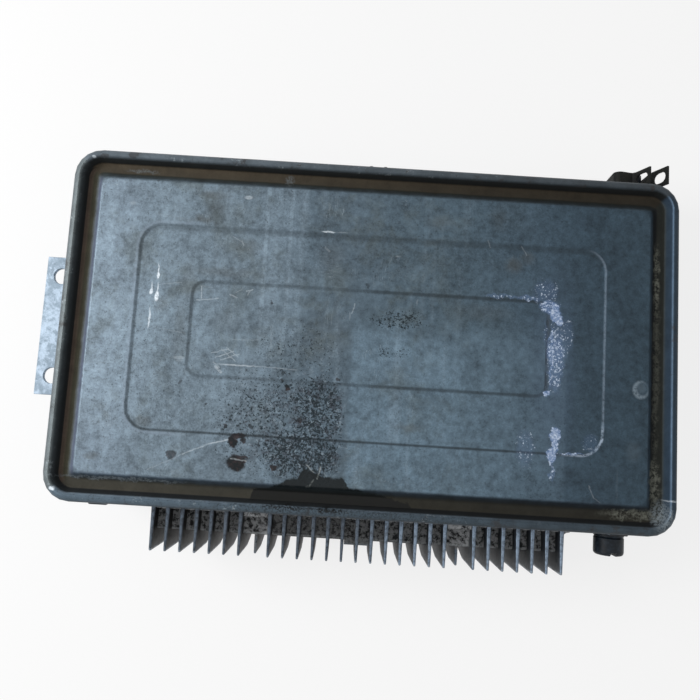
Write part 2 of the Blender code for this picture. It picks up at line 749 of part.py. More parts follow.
def shelf(half_width, reach):
    """The cross shelf between the fins, with its outer top edge rounded."""
    top = SHOULDER_HEIGHT - SHELF_DROP
    bottom = top - SHELF_THICKNESS
    root = SINK_FACE + WELD_OVERLAP
    outer = SINK_FACE - reach
    centre = (outer + SHELF_EDGE_RADIUS, top - SHELF_EDGE_RADIUS)
    outline = [(root, bottom), (outer, bottom)]
    outline += arc(centre, SHELF_EDGE_RADIUS, 180, 90, 3)
    outline.append((root, top))
    return prism(outline, -half_width, half_width, 0)


def end_fillet():
    """The concave root that runs from the back plate into the last fin on the trim screw's side."""
    face = LAST_FIN_X + FIN_ROOT_THICKNESS / 2 - FIN_TOP_ROUND
    centre = (face + SINK_END_FILLET, SINK_FACE - SINK_END_FILLET)
    outline = [(face - WELD_OVERLAP, SINK_FACE + WELD_OVERLAP)]
    outline.append((face - WELD_OVERLAP, SINK_FACE - SINK_END_FILLET))
    outline += arc(centre, SINK_END_FILLET, 180, 90, 4)
    outline.append((face + SINK_END_FILLET, SINK_FACE + WELD_OVERLAP))
    return prism(outline, FIN_FOOT, SINK_TOP, 2)


def make_heat_sink():
    first_end = LAST_FIN_X + FIN_ROOT_THICKNESS / 2 + SEAT_GAP
    last_end = LAST_FIN_X + FIN_ROOT_THICKNESS / 2 + SINK_END_FILLET
    plate = box_shape((-first_end, SINK_FACE, FIN_FOOT), (last_end, SINK_BACK, SINK_TOP))
    sink = place("heat_sink", plate, BLACK_CASTING)
    fins = merged([fin(number) for number in range(FIN_COUNT)])
    join(sink, place("sink_fins", fins, BLACK_CASTING, CUTTERS))
    join(sink, place("sink_shelf", shelf(LAST_FIN_X, SHELF_REACH), BLACK_CASTING, CUTTERS))

    root = SINK_FACE + WELD_OVERLAP
    extras = [shelf(SHELF_TAB_WIDTH / 2, SHELF_REACH + SHELF_TAB_REACH), end_fillet()]
    for number in SHORT_FINS:
        x = (number - FIN_SIDE_COUNT) * FIN_PITCH
        extras.append(
            box_shape(
                (x - PAD_WIDTH / 2, SINK_FACE - PAD_REACH, SHOULDER_HEIGHT - SHELF_DROP - 0.001),
                (x + PAD_WIDTH / 2, root, SHOULDER_HEIGHT - PAD_DROP),
            )
        )
    bores = []
    boss_end = SINK_FACE - BOSS_LENGTH
    spots = [(side * CLAMP_SCREW_X, TRANSISTOR_Z) for side in (-1, 1)]
    for side in (-1, 1):
        spots += [(side * SINK_SCREW_X, SINK_SCREW_LOW), (side * SINK_SCREW_X, SINK_SCREW_HIGH)]
    for x, z in spots:
        extras.append(rod_shape(BOSS_DIAMETER / 2, (x, root, z), (x, boss_end, z), SCREW_STEPS))
        depth = boss_end + SINK_PLATE / 2
        start = (x, SINK_BACK + 0.001, z)
        bores.append(rod_shape(SCREW_HOLE / 2, start, (x, depth, z), SCREW_STEPS))
    join(sink, place("sink_pads_and_bosses", merged(extras), BLACK_CASTING, CUTTERS))
    cut(sink, place("sink_screw_bores", merged(bores), BLACK_CASTING, CUTTERS))


def make_screw(name, seat, direction, diameter, head_diameter, head_height, length):
    """A pan-head screw whose head rests on seat, its shank running along direction."""
    head = head_diameter / 2
    shank = diameter / 2
    slot_radius = head * 0.3
    slot_depth = head_height * 0.45
    profile = [
        (0.0, head_height - slot_depth),
        (slot_radius, head_height),
        (head * 0.72, head_height),
        (head, head_height * 0.55),
        (head, 0.0),
        (shank, 0.0),
        (shank, shank * 0.4 - length),
        (0.0, -length),
    ]
    outward = [-part for part in direction]
    turned(name, profile, seat, outward, PLATED_STEEL, SCREW_STEPS)


def make_sink_screws():
    seat_y = -INNER_HALF_WIDTH + SEAT_GAP
    spots = [(side * SINK_SCREW_X, z) for side in (-1, 1) for z in (SINK_SCREW_LOW, SINK_SCREW_HIGH)]
    for number, (x, z) in enumerate(spots, 1):
        make_screw(
            f"heat_sink_screw_{number}",
            (x, seat_y, z),
            (0, -1, 0),
            SCREW_DIAMETER,
            SCREW_HEAD_DIAMETER,
            SCREW_HEAD_HEIGHT,
            SCREW_LENGTH,
        )


def make_bracket():
    back = -(TRAY_HALF_LENGTH + SEAT_GAP)
    outer_edge = back - BRACKET_REACH
    bend = (back - BRACKET_BEND_RADIUS, BRACKET_TOP - BRACKET_BEND_RADIUS)
    path = [(outer_edge, BRACKET_TOP)]
    path += arc(bend, BRACKET_BEND_RADIUS, 90, 0, 5)
    path.append((back, BRACKET_TOP - BRACKET_LEG))
    strip = ribbon(path, BRACKET_LENGTH / 2, -BRACKET_LENGTH / 2, 1)
    bracket = place("mounting_bracket", strip, GALVANISED)
    smooth(bracket)
    solidify(bracket, BRACKET_SHEET)
    bores = []
    for side in (-1, 1):
        x = outer_edge + BRACKET_HOLE_EDGE
        y = side * BRACKET_HOLE_SPACING / 2
        bores.append(
            rod_shape(
                BRACKET_HOLE / 2,
                (x, y, BRACKET_TOP + 0.001),
                (x, y, BRACKET_TOP - BRACKET_SHEET - 0.001),
                20,
            )
        )
        rivet_y = side * RIVET_SPACING / 2
        rivet_z = BRACKET_TOP - RIVET_DROP
        bores.append(
            rod_shape(
                RIVET_DIAMETER / 2 + BORE_CLEARANCE,
                (back + 0.001, rivet_y, rivet_z),
                (back - BRACKET_SHEET - 0.001, rivet_y, rivet_z),
                SCREW_STEPS,
            )
        )
        seat_x = back - BRACKET_SHEET - SEAT_GAP
        make_rivet(f"bracket_rivet_{(side + 3) // 2}", (seat_x, rivet_y, rivet_z))
    cut(bracket, place("bracket_holes", merged(bores), GALVANISED, CUTTERS))


def make_rivet(name, seat):
    """A rivet with a domed head outside and its closed tail inside the tray."""
    grip = BRACKET_SHEET + TRAY_SHEET + 3 * SEAT_GAP
    head = RIVET_HEAD_DIAMETER / 2
    tail = RIVET_TAIL_DIAMETER / 2
    shank = RIVET_DIAMETER / 2
    profile = [
        (0.0, RIVET_HEAD_HEIGHT),
        (head * 0.55, RIVET_HEAD_HEIGHT * 0.88),
        (head * 0.88, RIVET_HEAD_HEIGHT * 0.5),
        (head, 0.0),
        (shank, 0.0),
        (shank, -grip),
        (tail, -grip),
        (tail * 0.9, -grip - RIVET_TAIL_HEIGHT * 0.7),
        (0.0, -grip - RIVET_TAIL_HEIGHT),
    ]
    turned(name, profile, seat, (-1, 0, 0), PLATED_STEEL, SCREW_STEPS + 4)


def make_trim_parts():
    wall_face = -(TRAY_HALF_WIDTH + SEAT_GAP)
    outer = CAP_DIAMETER / 2
    bore = CAP_BORE / 2
    round_edge = [
        (outer - CAP_EDGE_RADIUS + across, CAP_LENGTH - CAP_EDGE_RADIUS + along)
        for across, along in arc((0.0, 0.0), CAP_EDGE_RADIUS, 90, 0, 3)
    ]
    profile = [(0.0, CAP_LENGTH)] + round_edge
    profile += [
        (outer, CAP_GRIP_START + CAP_GRIP_GROOVE),
        (outer - CAP_GRIP_GROOVE, CAP_GRIP_START),
        (outer, CAP_GRIP_START - CAP_GRIP_GROOVE),
    ]
    profile += [(outer, 0.0), (bore, 0.0), (bore, CAP_LENGTH - CAP_END)]
    profile.append((0.0, CAP_LENGTH - CAP_END))
    cap = turned("trim_cap", profile, (TRIM_X, wall_face, TRIM_Z), (0, -1, 0), BLACK_MOULDING)
    end = wall_face - CAP_LENGTH
    slot = box_shape(
        (TRIM_X - CAP_SLOT_WIDTH / 2, end - 0.001, TRIM_Z - CAP_DIAMETER),
        (TRIM_X + CAP_SLOT_WIDTH / 2, end + CAP_SLOT_DEPTH, TRIM_Z + CAP_DIAMETER),
    )
    cut(cap, place("cap_slot", slot, BLACK_MOULDING, CUTTERS))

    bush = bore - BORE_CLEARANCE
    body = TRIM_BODY_DIAMETER / 2
    shaft = TRIM_SHAFT_DIAMETER / 2
    length = TRIM_BUSH_LENGTH + TRAY_SHEET + SEAT_GAP
    tip = length + TRIM_SHAFT_LENGTH
    profile = [(0.0, tip), (shaft, tip), (shaft, length), (bush, length), (bush, 0.0)]
    profile += [(body, 0.0), (body, -TRIM_BODY_LENGTH), (0.0, -TRIM_BODY_LENGTH)]
    seat = (TRIM_X, -INNER_HALF_WIDTH + SEAT_GAP, TRIM_Z)
    turned("trim_potentiometer", profile, seat, (0, -1, 0), BLACK_MOULDING)


def socket_outline(width, height, radius):
    """The socket's rounded oblong in X and Z, about its own centre."""
    ring = ring_points(width / 2, height / 2, radius, 0.0, FINE_CORNER_STEPS)
    return [(SOCKET_X + point.x, SOCKET_Z + point.y) for point in ring]


def make_socket():
    flange_back = SOCKET_FLANGE_FACE - SOCKET_FLANGE_THICKNESS
    tube = prism(
        socket_outline(SOCKET_WIDTH, SOCKET_HEIGHT, SOCKET_RADIUS), flange_back, SOCKET_MOUTH, 1
    )
    shell = place("socket_shell", tube, BLACK_MOULDING)
    flange = box_shape(
        (SOCKET_FLANGE_LEFT, flange_back, SOCKET_Z - SOCKET_HEIGHT / 2),
        (SOCKET_X, SOCKET_FLANGE_FACE, SOCKET_Z + SOCKET_HEIGHT / 2),
    )
    join(shell, place("socket_flange", flange, BLACK_MOULDING, CUTTERS))
    inner = socket_outline(
        SOCKET_WIDTH - 2 * SOCKET_WALL, SOCKET_HEIGHT - 2 * SOCKET_WALL, SOCKET_RADIUS - SOCKET_WALL
    )
    hollow = prism(inner, flange_back - 0.001, SOCKET_MOUTH + 0.001, 1)
    cut(shell, place("socket_hollow", hollow, BLACK_MOULDING, CUTTERS))
    bores = []
    for number, side in enumerate((-1, 1), 1):
        z = SOCKET_Z + side * SOCKET_SCREW_SPACING / 2
        bores.append(
            rod_shape(
                SMALL_SCREW_HOLE / 2,
                (SOCKET_SCREW_X, flange_back - 0.001, z),
                (SOCKET_SCREW_X, SOCKET_FLANGE_FACE + 0.001, z),
                SCREW_STEPS,
            )
        )
        length = TRAY_SHEET + 2 * SEAT_GAP + SOCKET_FLANGE_THICKNESS
        make_screw(
            f"socket_screw_{number}",
            (SOCKET_SCREW_X, TRAY_HALF_WIDTH + SEAT_GAP, z),
            (0, -1, 0),
            SMALL_SCREW_DIAMETER,
            SMALL_HEAD_DIAMETER,
            SMALL_HEAD_HEIGHT,
            length,
        )
    cut(shell, place("socket_screw_bores", merged(bores), BLACK_MOULDING, CUTTERS))

    margin = SOCKET_WALL + SEAT_GAP
    front = INNER_HALF_WIDTH
    plug = prism(
        socket_outline(
            SOCKET_WIDTH - 2 * margin, SOCKET_HEIGHT - 2 * margin, SOCKET_RADIUS - margin
        ),
        flange_back - SEAT_GAP - WELD_OVERLAP,
        front,
        1,
    )
    insert = place("contact_insert", plug, CHIP_BLACK)
    block = box_shape(
        (SOCKET_X - SOCKET_WIDTH / 2, flange_back - INSERT_BACK, BOARD_SEAT),
        (SOCKET_X + SOCKET_WIDTH / 2, flange_back - SEAT_GAP, SOCKET_Z + SOCKET_HEIGHT / 2),
    )
    join(insert, place("insert_block", block, CHIP_BLACK, CUTTERS))
    pins = []
    half = PIN_THICKNESS / 2
    for column in range(PIN_COLUMNS):
        x = SOCKET_X + (column - (PIN_COLUMNS - 1) / 2) * PIN_PITCH
        for row in range(PIN_ROWS):
            z = SOCKET_Z + (row - (PIN_ROWS - 1) / 2) * PIN_PITCH
            pins.append(
                box_shape(
                    (x - half, front - WELD_OVERLAP, z - half),
                    (x + half, SOCKET_MOUTH - PIN_RECESS, z + half),
                )
            )
    join(insert, place("insert_pins", merged(pins), BRASS, CUTTERS))


def strap_path():
    """The clamp's outer face in X and Z, from the left ear's tip round the loop to the right's."""
    gap = SEAT_GAP + STRAP_SHEET
    left = SOCKET_X - SOCKET_WIDTH / 2 - gap
    right = SOCKET_X + SOCKET_WIDTH / 2 + gap + STRAP_RIGHT_SLACK
    top = SOCKET_Z + SOCKET_HEIGHT / 2 + gap
    loose_top = top + STRAP_TOP_SLACK
    bottom = SOCKET_Z - SOCKET_HEIGHT / 2 - gap
    radius = STRAP_CORNER_RADIUS
    lean = Vector((math.sin(STRAP_EAR_LEAN), math.cos(STRAP_EAR_LEAN)))
    right_root = Vector((right, loose_top))
    left_root = Vector((right - STRAP_EAR_GAP, top + SEAT_GAP / 2))
    left_tip = left_root + lean * STRAP_EAR_HEIGHT
    right_tip = right_root + lean * STRAP_EAR_HEIGHT
    bend = STRAP_EAR_BEND
    path = [tuple(left_tip), tuple(left_root + lean * bend)]
    path.append(tuple(left_root + Vector((-0.35 * bend, 0.25 * bend))))
    path.append((left_root.x - bend, left_root.y + 0.3 * bend))
    loose_left = left - STRAP_LEFT_SLACK
    path += arc((loose_left + radius, loose_top - radius), radius, 85, 180, 4)
    path += arc((left + radius, bottom + radius), radius, 180, 270, 4)
    path += arc((right - radius, bottom + radius), radius, 270, 360, 4)
    path.append((right, loose_top - bend))
    path.append(tuple(right_root + lean * 0.5 * bend))
    path.append(tuple(right_tip))
    return path, left_tip, right_tip, lean


def make_clamp():
    path, left_tip, right_tip, lean = strap_path()
    strip = ribbon(path, SOCKET_MOUTH - STRAP_WIDTH, SOCKET_MOUTH, 1)
    clamp = place("harness_clamp", strip, STRAP_STEEL)
    smooth(clamp)
    solidify(clamp, STRAP_SHEET)
    across = Vector((lean.y, -lean.x))
    slots = []
    for tip in (left_tip, right_tip):
        middle = tip - lean * (STRAP_HOLE_LENGTH / 2 + STRAP_HOLE_DROP)
        y = SOCKET_MOUTH - STRAP_WIDTH / 2
        start = middle - across * 0.003
        end = middle + across * 0.003
        half = (STRAP_HOLE_LENGTH - STRAP_HOLE_WIDTH) / 2
        slots.append(slot_shape(start, end, lean, y, half))
    cut(clamp, place("strap_slots", merged(slots), STRAP_STEEL, CUTTERS))


def slot_shape(start, end, lean, y, half):
    """An oval hole through a strap ear, longer along the ear."""
    radius = STRAP_HOLE_WIDTH / 2
    outline = arc((half, 0.0), radius, -90, 90, 6) + arc((-half, 0.0), radius, 90, 270, 6)
    rings = []
    for centre in (start, end):
        ring = []
        for along, across in outline:
            point = centre + lean * along
            ring.append(Vector((point.x, y + across, point.y)))
        rings.append(ring)
    shape = loft(rings, cap_start=True, cap_end=True)
    bmesh.ops.recalc_face_normals(shape, faces=shape.faces)
    return shape


def make_board():
    board = place(
        "main_board",
        box_shape(
            (-BOARD_HALF_LENGTH, BOARD_FRONT, BOARD_BOTTOM), (BOARD_HALF_LENGTH, BOARD_BACK, BOARD_TOP)
        ),
        BOARD_GREEN,
    )
    holes = [
        rod_shape(SMALL_SCREW_HOLE / 2, (x, y, BOARD_BOTTOM - 0.001), (x, y, BOARD_TOP + 0.001), SCREW_STEPS)
        for x, y in SPACER_SPOTS
    ]
    cut(board, place("board_holes", merged(holes), BOARD_GREEN, CUTTERS))
    grip = SPACER_HEIGHT / 2 - SEAT_GAP
    for number, (x, y) in enumerate(SPACER_SPOTS, 1):
        bore = SMALL_SCREW_HOLE / 2
        hexagon = rod_shape(SPACER_DIAMETER / 2, (x, y, SPACER_BOTTOM), (x, y, SPACER_TOP), 6)
        spacer = place(f"board_spacer_{number}", hexagon, BRASS)
        through = rod_shape(bore, (x, y, SPACER_BOTTOM - 0.001), (x, y, SPACER_TOP + 0.001), SCREW_STEPS)
        cut(spacer, place(f"spacer_bore_{number}", through, BRASS, CUTTERS))
        make_screw(
            f"board_screw_{number}",
            (x, y, BOARD_SEAT),
            (0, 0, -1),
            SMALL_SCREW_DIAMETER,
            SMALL_HEAD_DIAMETER,
            SMALL_HEAD_HEIGHT,
            BOARD_SEAT - SPACER_TOP + grip,
        )
        base_seat = DIMPLE_TOP - TRAY_SHEET - SEAT_GAP
        make_screw(
            f"base_screw_{number}",
            (x, y, base_seat),
            (0, 0, 1),
            SMALL_SCREW_DIAMETER,
            SMALL_HEAD_DIAMETER,
            SMALL_HEAD_HEIGHT,
            SPACER_BOTTOM - base_seat + grip,
        )


def make_chip(name, x, y, pins_a_side, width):
    """A dual in-line package, long along X, standing on two rows of legs."""
    length = (pins_a_side + 0.3) * CHIP_PITCH
    bottom = BOARD_SEAT + CHIP_STAND
    body = box_shape(
        (x - length / 2, y - width / 2, bottom), (x + length / 2, y + width / 2, bottom + CHIP_HEIGHT)
    )
    chip = place(name, body, CHIP_BLACK)
    knee = bottom + CHIP_HEIGHT * 0.45
    legs = []
    for number in range(pins_a_side):
        leg_x = x + (number - (pins_a_side - 1) / 2) * CHIP_PITCH
        for side in (-1, 1):
            inner = y + side * (width / 2 - LEG_THICKNESS)
            outer = y + side * (width / 2 + LEG_THICKNESS)
            low = (leg_x - LEG_WIDTH / 2, min(inner, outer), BOARD_SEAT)
            legs.append(box_shape(low, (leg_x + LEG_WIDTH / 2, max(inner, outer), knee)))
    join(chip, place(name + "_legs", merged(legs), CAN_METAL, CUTTERS))


def board_spot(shares):
    """The X and Y of a place on the board, from its shares of the board's half sizes."""
    return shares[0] * BOARD_HALF_LENGTH, BOARD_MIDDLE + shares[1] * BOARD_HALF_DEPTH


def board_block(name, shares, length, width, height, edge, finish):
    """A moulded block that stands on the board."""
    x, y = board_spot(shares)
    low = (x - length / 2, y - width / 2, BOARD_SEAT)
    block = place(name, box_shape(low, (x + length / 2, y + width / 2, BOARD_SEAT + height)), finish)
    bevel(block, edge, 1)


def make_capacitor(name, shares, diameter, height):
    """A radial can with its crimped neck and a dished top."""
    x, y = board_spot(shares)
    radius = diameter / 2
    profile = [
        (0.0, height - CRIMP_DEPTH),
        (radius * 0.78, height - CRIMP_DEPTH),
        (radius * 0.84, height),
        (radius, height - CRIMP_DEPTH),
        (radius, CRIMP_HEIGHT + CRIMP_DEPTH),
        (radius - CRIMP_DEPTH, CRIMP_HEIGHT),
        (radius, CRIMP_HEIGHT - CRIMP_DEPTH),
        (radius, 0.0),
        (0.0, 0.0),
    ]
    turned(name, profile, (x, y, BOARD_SEAT), (0, 0, 1), SLEEVE_BLUE, 16)


def make_components():
    make_chip("microprocessor", *board_spot(MICROPROCESSOR_SPOT), 20, WIDE_CHIP)
    make_chip("program_memory", *board_spot(PROGRAM_MEMORY_SPOT), 14, WIDE_CHIP)
    make_chip("input_interface", *board_spot(INPUT_INTERFACE_SPOT), 12, WIDE_CHIP)
    make_chip("output_driver", *board_spot(OUTPUT_DRIVER_SPOT), 8, NARROW_CHIP)
    tall = CAPACITOR_HEIGHT_SHARE * HEADROOM
    short = SMALL_CAPACITOR_HEIGHT_SHARE * HEADROOM
    make_capacitor("supply_capacitor_1", CAPACITOR_1_SPOT, CAPACITOR_DIAMETER, tall)
    make_capacitor("supply_capacitor_2", CAPACITOR_2_SPOT, CAPACITOR_DIAMETER, tall)
    make_capacitor("filter_capacitor", SMALL_CAPACITOR_SPOT, SMALL_CAPACITOR_DIAMETER, short)
    board_block(
        "supply_relay",
        RELAY_SPOT,
        RELAY_LENGTH,
        RELAY_WIDTH,
        RELAY_HEIGHT_SHARE * HEADROOM,
        RELAY_WIDTH / 20,
        CHIP_BLACK,
    )
    board_block(
        "resistor_pack",
        RESISTOR_PACK_SPOT,
        RESISTOR_PACK_LENGTH,
        RESISTOR_PACK_THICKNESS,
        RESISTOR_PACK_HEIGHT,
        RESISTOR_PACK_THICKNESS / 8,
        CHIP_BLACK,
    )

    x, y = board_spot(CRYSTAL_SPOT)
    round_end = CRYSTAL_THICKNESS * 0.49
    top = BOARD_SEAT + CRYSTAL_HEIGHT_SHARE * HEADROOM
    rings = [
        [
            point + Vector((x, y, 0.0))
            for point in ring_points(
                CRYSTAL_LENGTH / 2, CRYSTAL_THICKNESS / 2, round_end, height, FINE_CORNER_STEPS
            )
        ]
        for height in (BOARD_SEAT, top)
    ]
    crystal = place("clock_crystal", loft(rings, cap_start=True, cap_end=True), CAN_METAL)
    bevel(smooth(crystal), CRYSTAL_THICKNESS / 12, 1)

    x, y = board_spot(CHOKE_SPOT)
    bpy.ops.mesh.primitive_torus_add(
        location=(x, y, BOARD_SEAT + CHOKE_WIRE_RADIUS),
        major_segments=20,
        minor_segments=6,
        major_radius=CHOKE_RADIUS,
        minor_radius=CHOKE_WIRE_RADIUS,
    )
    choke = bpy.context.object
    choke.name = "suppression_choke"
    for owner in list(choke.users_collection):
        owner.objects.unlink(choke)
    PARTS.objects.link(choke)
    choke.data.materials.append(BRASS)
    choke.data.shade_smooth()


def make_transistors():
    wall = -INNER_HALF_WIDTH + SEAT_GAP
    back = wall + PAD_SHEET + SEAT_GAP
    front = back + TRANSISTOR_THICKNESS
    half = TRANSISTOR_HEIGHT / 2
    spread = TRANSISTOR_SPACING + TRANSISTOR_WIDTH / 2 + 0.003
    place(
        "insulating_pad",
        box_shape(
            (-spread, wall, TRANSISTOR_Z - half - 0.001), (spread, wall + PAD_SHEET, TRANSISTOR_Z + half)
        ),
        RUBBER,
    )
    for number in (1, 2, 3):
        x = (number - 2) * TRANSISTOR_SPACING
        body = box_shape(
            (x - TRANSISTOR_WIDTH / 2, back, TRANSISTOR_Z - half),
            (x + TRANSISTOR_WIDTH / 2, front, TRANSISTOR_Z + half),
        )
        device = place(f"power_transistor_{number}", body, CHIP_BLACK)
        bevel(device, 0.0006, 1)
        legs = []
        start_z = TRANSISTOR_Z - half + WELD_OVERLAP
        leg_y = (back + front) / 2
        board_y = BOARD_FRONT + 0.003
        bend_z = BOARD_TOP + 0.0014
        for offset in (-1, 0, 1):
            leg_x = x + offset * 2 * CHIP_PITCH
            path = [(leg_y, start_z), (leg_y, bend_z), (board_y, bend_z), (board_y, BOARD_SEAT)]
            legs.append(ribbon(path, leg_x - LEG_WIDTH, leg_x + LEG_WIDTH, 0))
        rows = place(f"power_transistor_{number}_legs", merged(legs), CAN_METAL, CUTTERS)
        solidify(rows, LEG_THICKNESS)
        join(device, rows)

    bar_back = front + SEAT_GAP
    reach = CLAMP_SCREW_X + BOSS_DIAMETER / 2
    bar = place(
        "transistor_clamp",
        box_shape(
            (-reach, bar_back, TRANSISTOR_Z - CLAMP_BAR_HEIGHT / 2),
            (reach, bar_back + CLAMP_BAR_THICKNESS, TRANSISTOR_Z + CLAMP_BAR_HEIGHT / 2),
        ),
        GALVANISED,
    )
    bevel(bar, 0.0008, 1)
    bores = []
    seat_y = bar_back + CLAMP_BAR_THICKNESS + SEAT_GAP
    for number, side in enumerate((-1, 1), 1):
        x = side * CLAMP_SCREW_X
        bores.append(
            rod_shape(
                SCREW_HOLE / 2,
                (x, bar_back - 0.001, TRANSISTOR_Z),
                (x, seat_y + 0.001, TRANSISTOR_Z),
                SCREW_STEPS,
            )
        )
        make_screw(
            f"clamp_screw_{number}",
            (x, seat_y, TRANSISTOR_Z),
            (0, -1, 0),
            SCREW_DIAMETER,
            SCREW_HEAD_DIAMETER,
            SCREW_HEAD_HEIGHT,
            seat_y + INNER_HALF_WIDTH + SCREW_LENGTH - SEAT_GAP,
        )
    cut(bar, place("clamp_bar_bores", merged(bores), GALVANISED, CUTTERS))


make_cover()
make_gasket()
make_tray()
make_heat_sink()
make_sink_screws()
make_bracket()
make_trim_parts()
make_socket()
make_clamp()
make_board()
make_components()
make_transistors()
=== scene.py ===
"""Finishes, light and camera for the engine control unit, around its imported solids."""

import json
import math

import bmesh
import bpy
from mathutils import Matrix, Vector


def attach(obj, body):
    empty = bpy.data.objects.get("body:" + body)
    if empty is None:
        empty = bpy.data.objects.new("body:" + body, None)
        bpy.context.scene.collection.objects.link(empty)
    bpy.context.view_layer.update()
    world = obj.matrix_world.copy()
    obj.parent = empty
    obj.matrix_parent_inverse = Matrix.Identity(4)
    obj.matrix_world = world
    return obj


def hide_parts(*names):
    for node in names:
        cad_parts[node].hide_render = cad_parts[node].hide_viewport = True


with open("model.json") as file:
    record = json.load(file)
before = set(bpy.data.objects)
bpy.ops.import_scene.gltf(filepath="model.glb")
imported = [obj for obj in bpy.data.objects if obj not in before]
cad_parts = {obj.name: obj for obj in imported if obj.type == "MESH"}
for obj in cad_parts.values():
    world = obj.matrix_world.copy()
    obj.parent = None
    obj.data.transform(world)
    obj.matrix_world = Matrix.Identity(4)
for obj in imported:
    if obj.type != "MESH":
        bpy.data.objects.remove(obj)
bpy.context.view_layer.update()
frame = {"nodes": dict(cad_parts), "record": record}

MM = 0.001

# The cover's outline, in metres, as the solids have it
COVER_HALF_X = 0.128
COVER_HALF_Y = 0.0734
COVER_CORNER = 0.0115
OUTER_PANEL = (0.0974, 0.0428, 0.0092)
INNER_PANEL = (0.0743, 0.0197, 0.005)


def paint(red, green, blue):
    """A screen colour, 0 to 255 a channel, in the linear values that Blender takes."""
    return tuple(
        level / 255 / 12.92 if level <= 10 else ((level / 255 + 0.055) / 1.055) ** 2.4
        for level in (red, green, blue)
    )


# The cover's blue-grey over x in mm, from its bracket end to its darker socket end: partly its
# own tone, mostly painted light, lighter where the window light falls and darker away from it as
# painted shade
COVER_TONE_AND_PAINTED_LIGHT = (
    (-128, paint(106, 120, 132)),
    (-108, paint(111, 126, 139)),
    (-88, paint(111, 127, 139)),
    (-68, paint(108, 124, 136)),
    (-48, paint(106, 122, 134)),
    (-30, paint(91, 107, 119)),
    (-10, paint(86, 102, 114)),
    (12, paint(81, 98, 110)),
    (40, paint(73, 90, 102)),
    (64, paint(66, 83, 96)),
    (90, paint(55, 71, 83)),
    (128, paint(51, 67, 78)),
)

# What lies from the cover's edge inwards, in mm, on each side: crest, wall, channel, slope. The
# channel's brown is dirt; the rest carries painted light and shade
# Left: the crest painted lit, the wall's foot painted black as shade, a bluish painted highlight
# on the slope that faces the light
LEFT_RIM_DIRT_AND_PAINTED_LIGHT = (
    (0.0, paint(60, 66, 70)),
    (0.6, paint(96, 104, 108)),
    (3.2, paint(100, 108, 110)),
    (3.8, paint(58, 64, 67)),
    (4.5, paint(28, 32, 34)),
    (5.2, paint(20, 22, 22)),
    (5.5, paint(86, 74, 66)),
    (6.6, paint(82, 72, 62)),
    (7.4, paint(60, 58, 46)),
    (8.6, paint(66, 66, 54)),
    (9.3, paint(86, 91, 91)),
    (10.3, paint(94, 103, 115)),
    (11.3, paint(88, 96, 116)),
    (12.4, paint(106, 120, 133)),
)
# Top: the wall's foot and the slope painted dark as shade
TOP_RIM_DIRT_AND_PAINTED_LIGHT = (
    (0.0, paint(48, 54, 60)),
    (0.8, paint(86, 95, 102)),
    (3.4, paint(82, 91, 98)),
    (3.9, paint(26, 29, 30)),
    (4.7, paint(18, 20, 20)),
    (5.1, paint(62, 55, 44)),
    (8.6, paint(58, 53, 44)),
    (9.3, paint(38, 41, 38)),
    (10.6, paint(48, 55, 58)),
    (11.8, paint(78, 90, 98)),
)
# Right: the outer shoulder and the slope painted dark as shade, a bright blue painted highlight
# line on the inner wall
RIGHT_RIM_DIRT_AND_PAINTED_LIGHT = (
    (0.0, paint(32, 39, 46)),
    (1.2, paint(38, 52, 63)),
    (3.0, paint(40, 55, 68)),
    (3.3, paint(92, 114, 136)),
    (3.7, paint(44, 60, 76)),
    (4.5, paint(46, 60, 73)),
    (4.9, paint(58, 66, 70)),
    (5.2, paint(37, 39, 36)),
    (8.1, paint(35, 37, 34)),
    (8.6, paint(13, 16, 18)),
    (10.2, paint(15, 19, 22)),
    (11.2, paint(45, 58, 69)),
)
# Bottom: a pale painted highlight on the rim's inner edge, the wall's foot and the slope painted
# dark as shade
BOTTOM_RIM_DIRT_AND_PAINTED_LIGHT = (
    (0.0, paint(40, 46, 51)),
    (1.0, paint(73, 86, 96)),
    (3.0, paint(77, 91, 102)),
    (3.6, paint(106, 120, 132)),
    (4.0, paint(28, 32, 35)),
    (5.2, paint(24, 26, 27)),
    (5.6, paint(55, 53, 46)),
    (9.0, paint(52, 51, 45)),
    (10.0, paint(37, 43, 47)),
    (10.9, paint(44, 53, 61)),
    (11.6, paint(56, 67, 78)),
    (12.4, paint(84, 98, 114)),
)

RIM_BAND = 14.0

# PALE_METAL is the tone of the painted sheen, painted reflections and faint streaks on the field
PALE_METAL = paint(136, 154, 168)
WIPED = paint(108, 130, 146)
CHALK = paint(222, 232, 240)

# How bright the sky lights the unit, and how much of the floor's white is its own
SKY_LIGHT = 0.4
FLOOR_GLOW = 0.78
FLOOR_SIZE = 8.0
FLOOR_DROP = 0.0004

# The lamps: name, place and size in metres, and power in watts. They point at LAMP_AIM
LAMPS = (
    ("window_side", (-0.55, 0.06, 0.42), 0.35, 3.3),
    ("fill_side", (0.5, -0.5, 1.1), 1.0, 0.5),
)
LAMP_AIM = (0.0, 0.0, 0.03)

# The photograph's camera, solved from the cover's outline: metres, degrees and mm
CAMERA_PLACE = (-0.007957, -0.035433, 0.322344)
CAMERA_TURN = (6.1682, -0.4733, 3.4632)
CAMERA_LENS = 34.811
CAMERA_SENSOR = 36.0


def set_stops(color_ramp, stops):
    elements = color_ramp.elements
    while len(elements) < len(stops):
        elements.new(0.5)
    for element, (position, colour) in zip(elements, stops):
        element.position = position
        element.color = (*colour, 1.0)


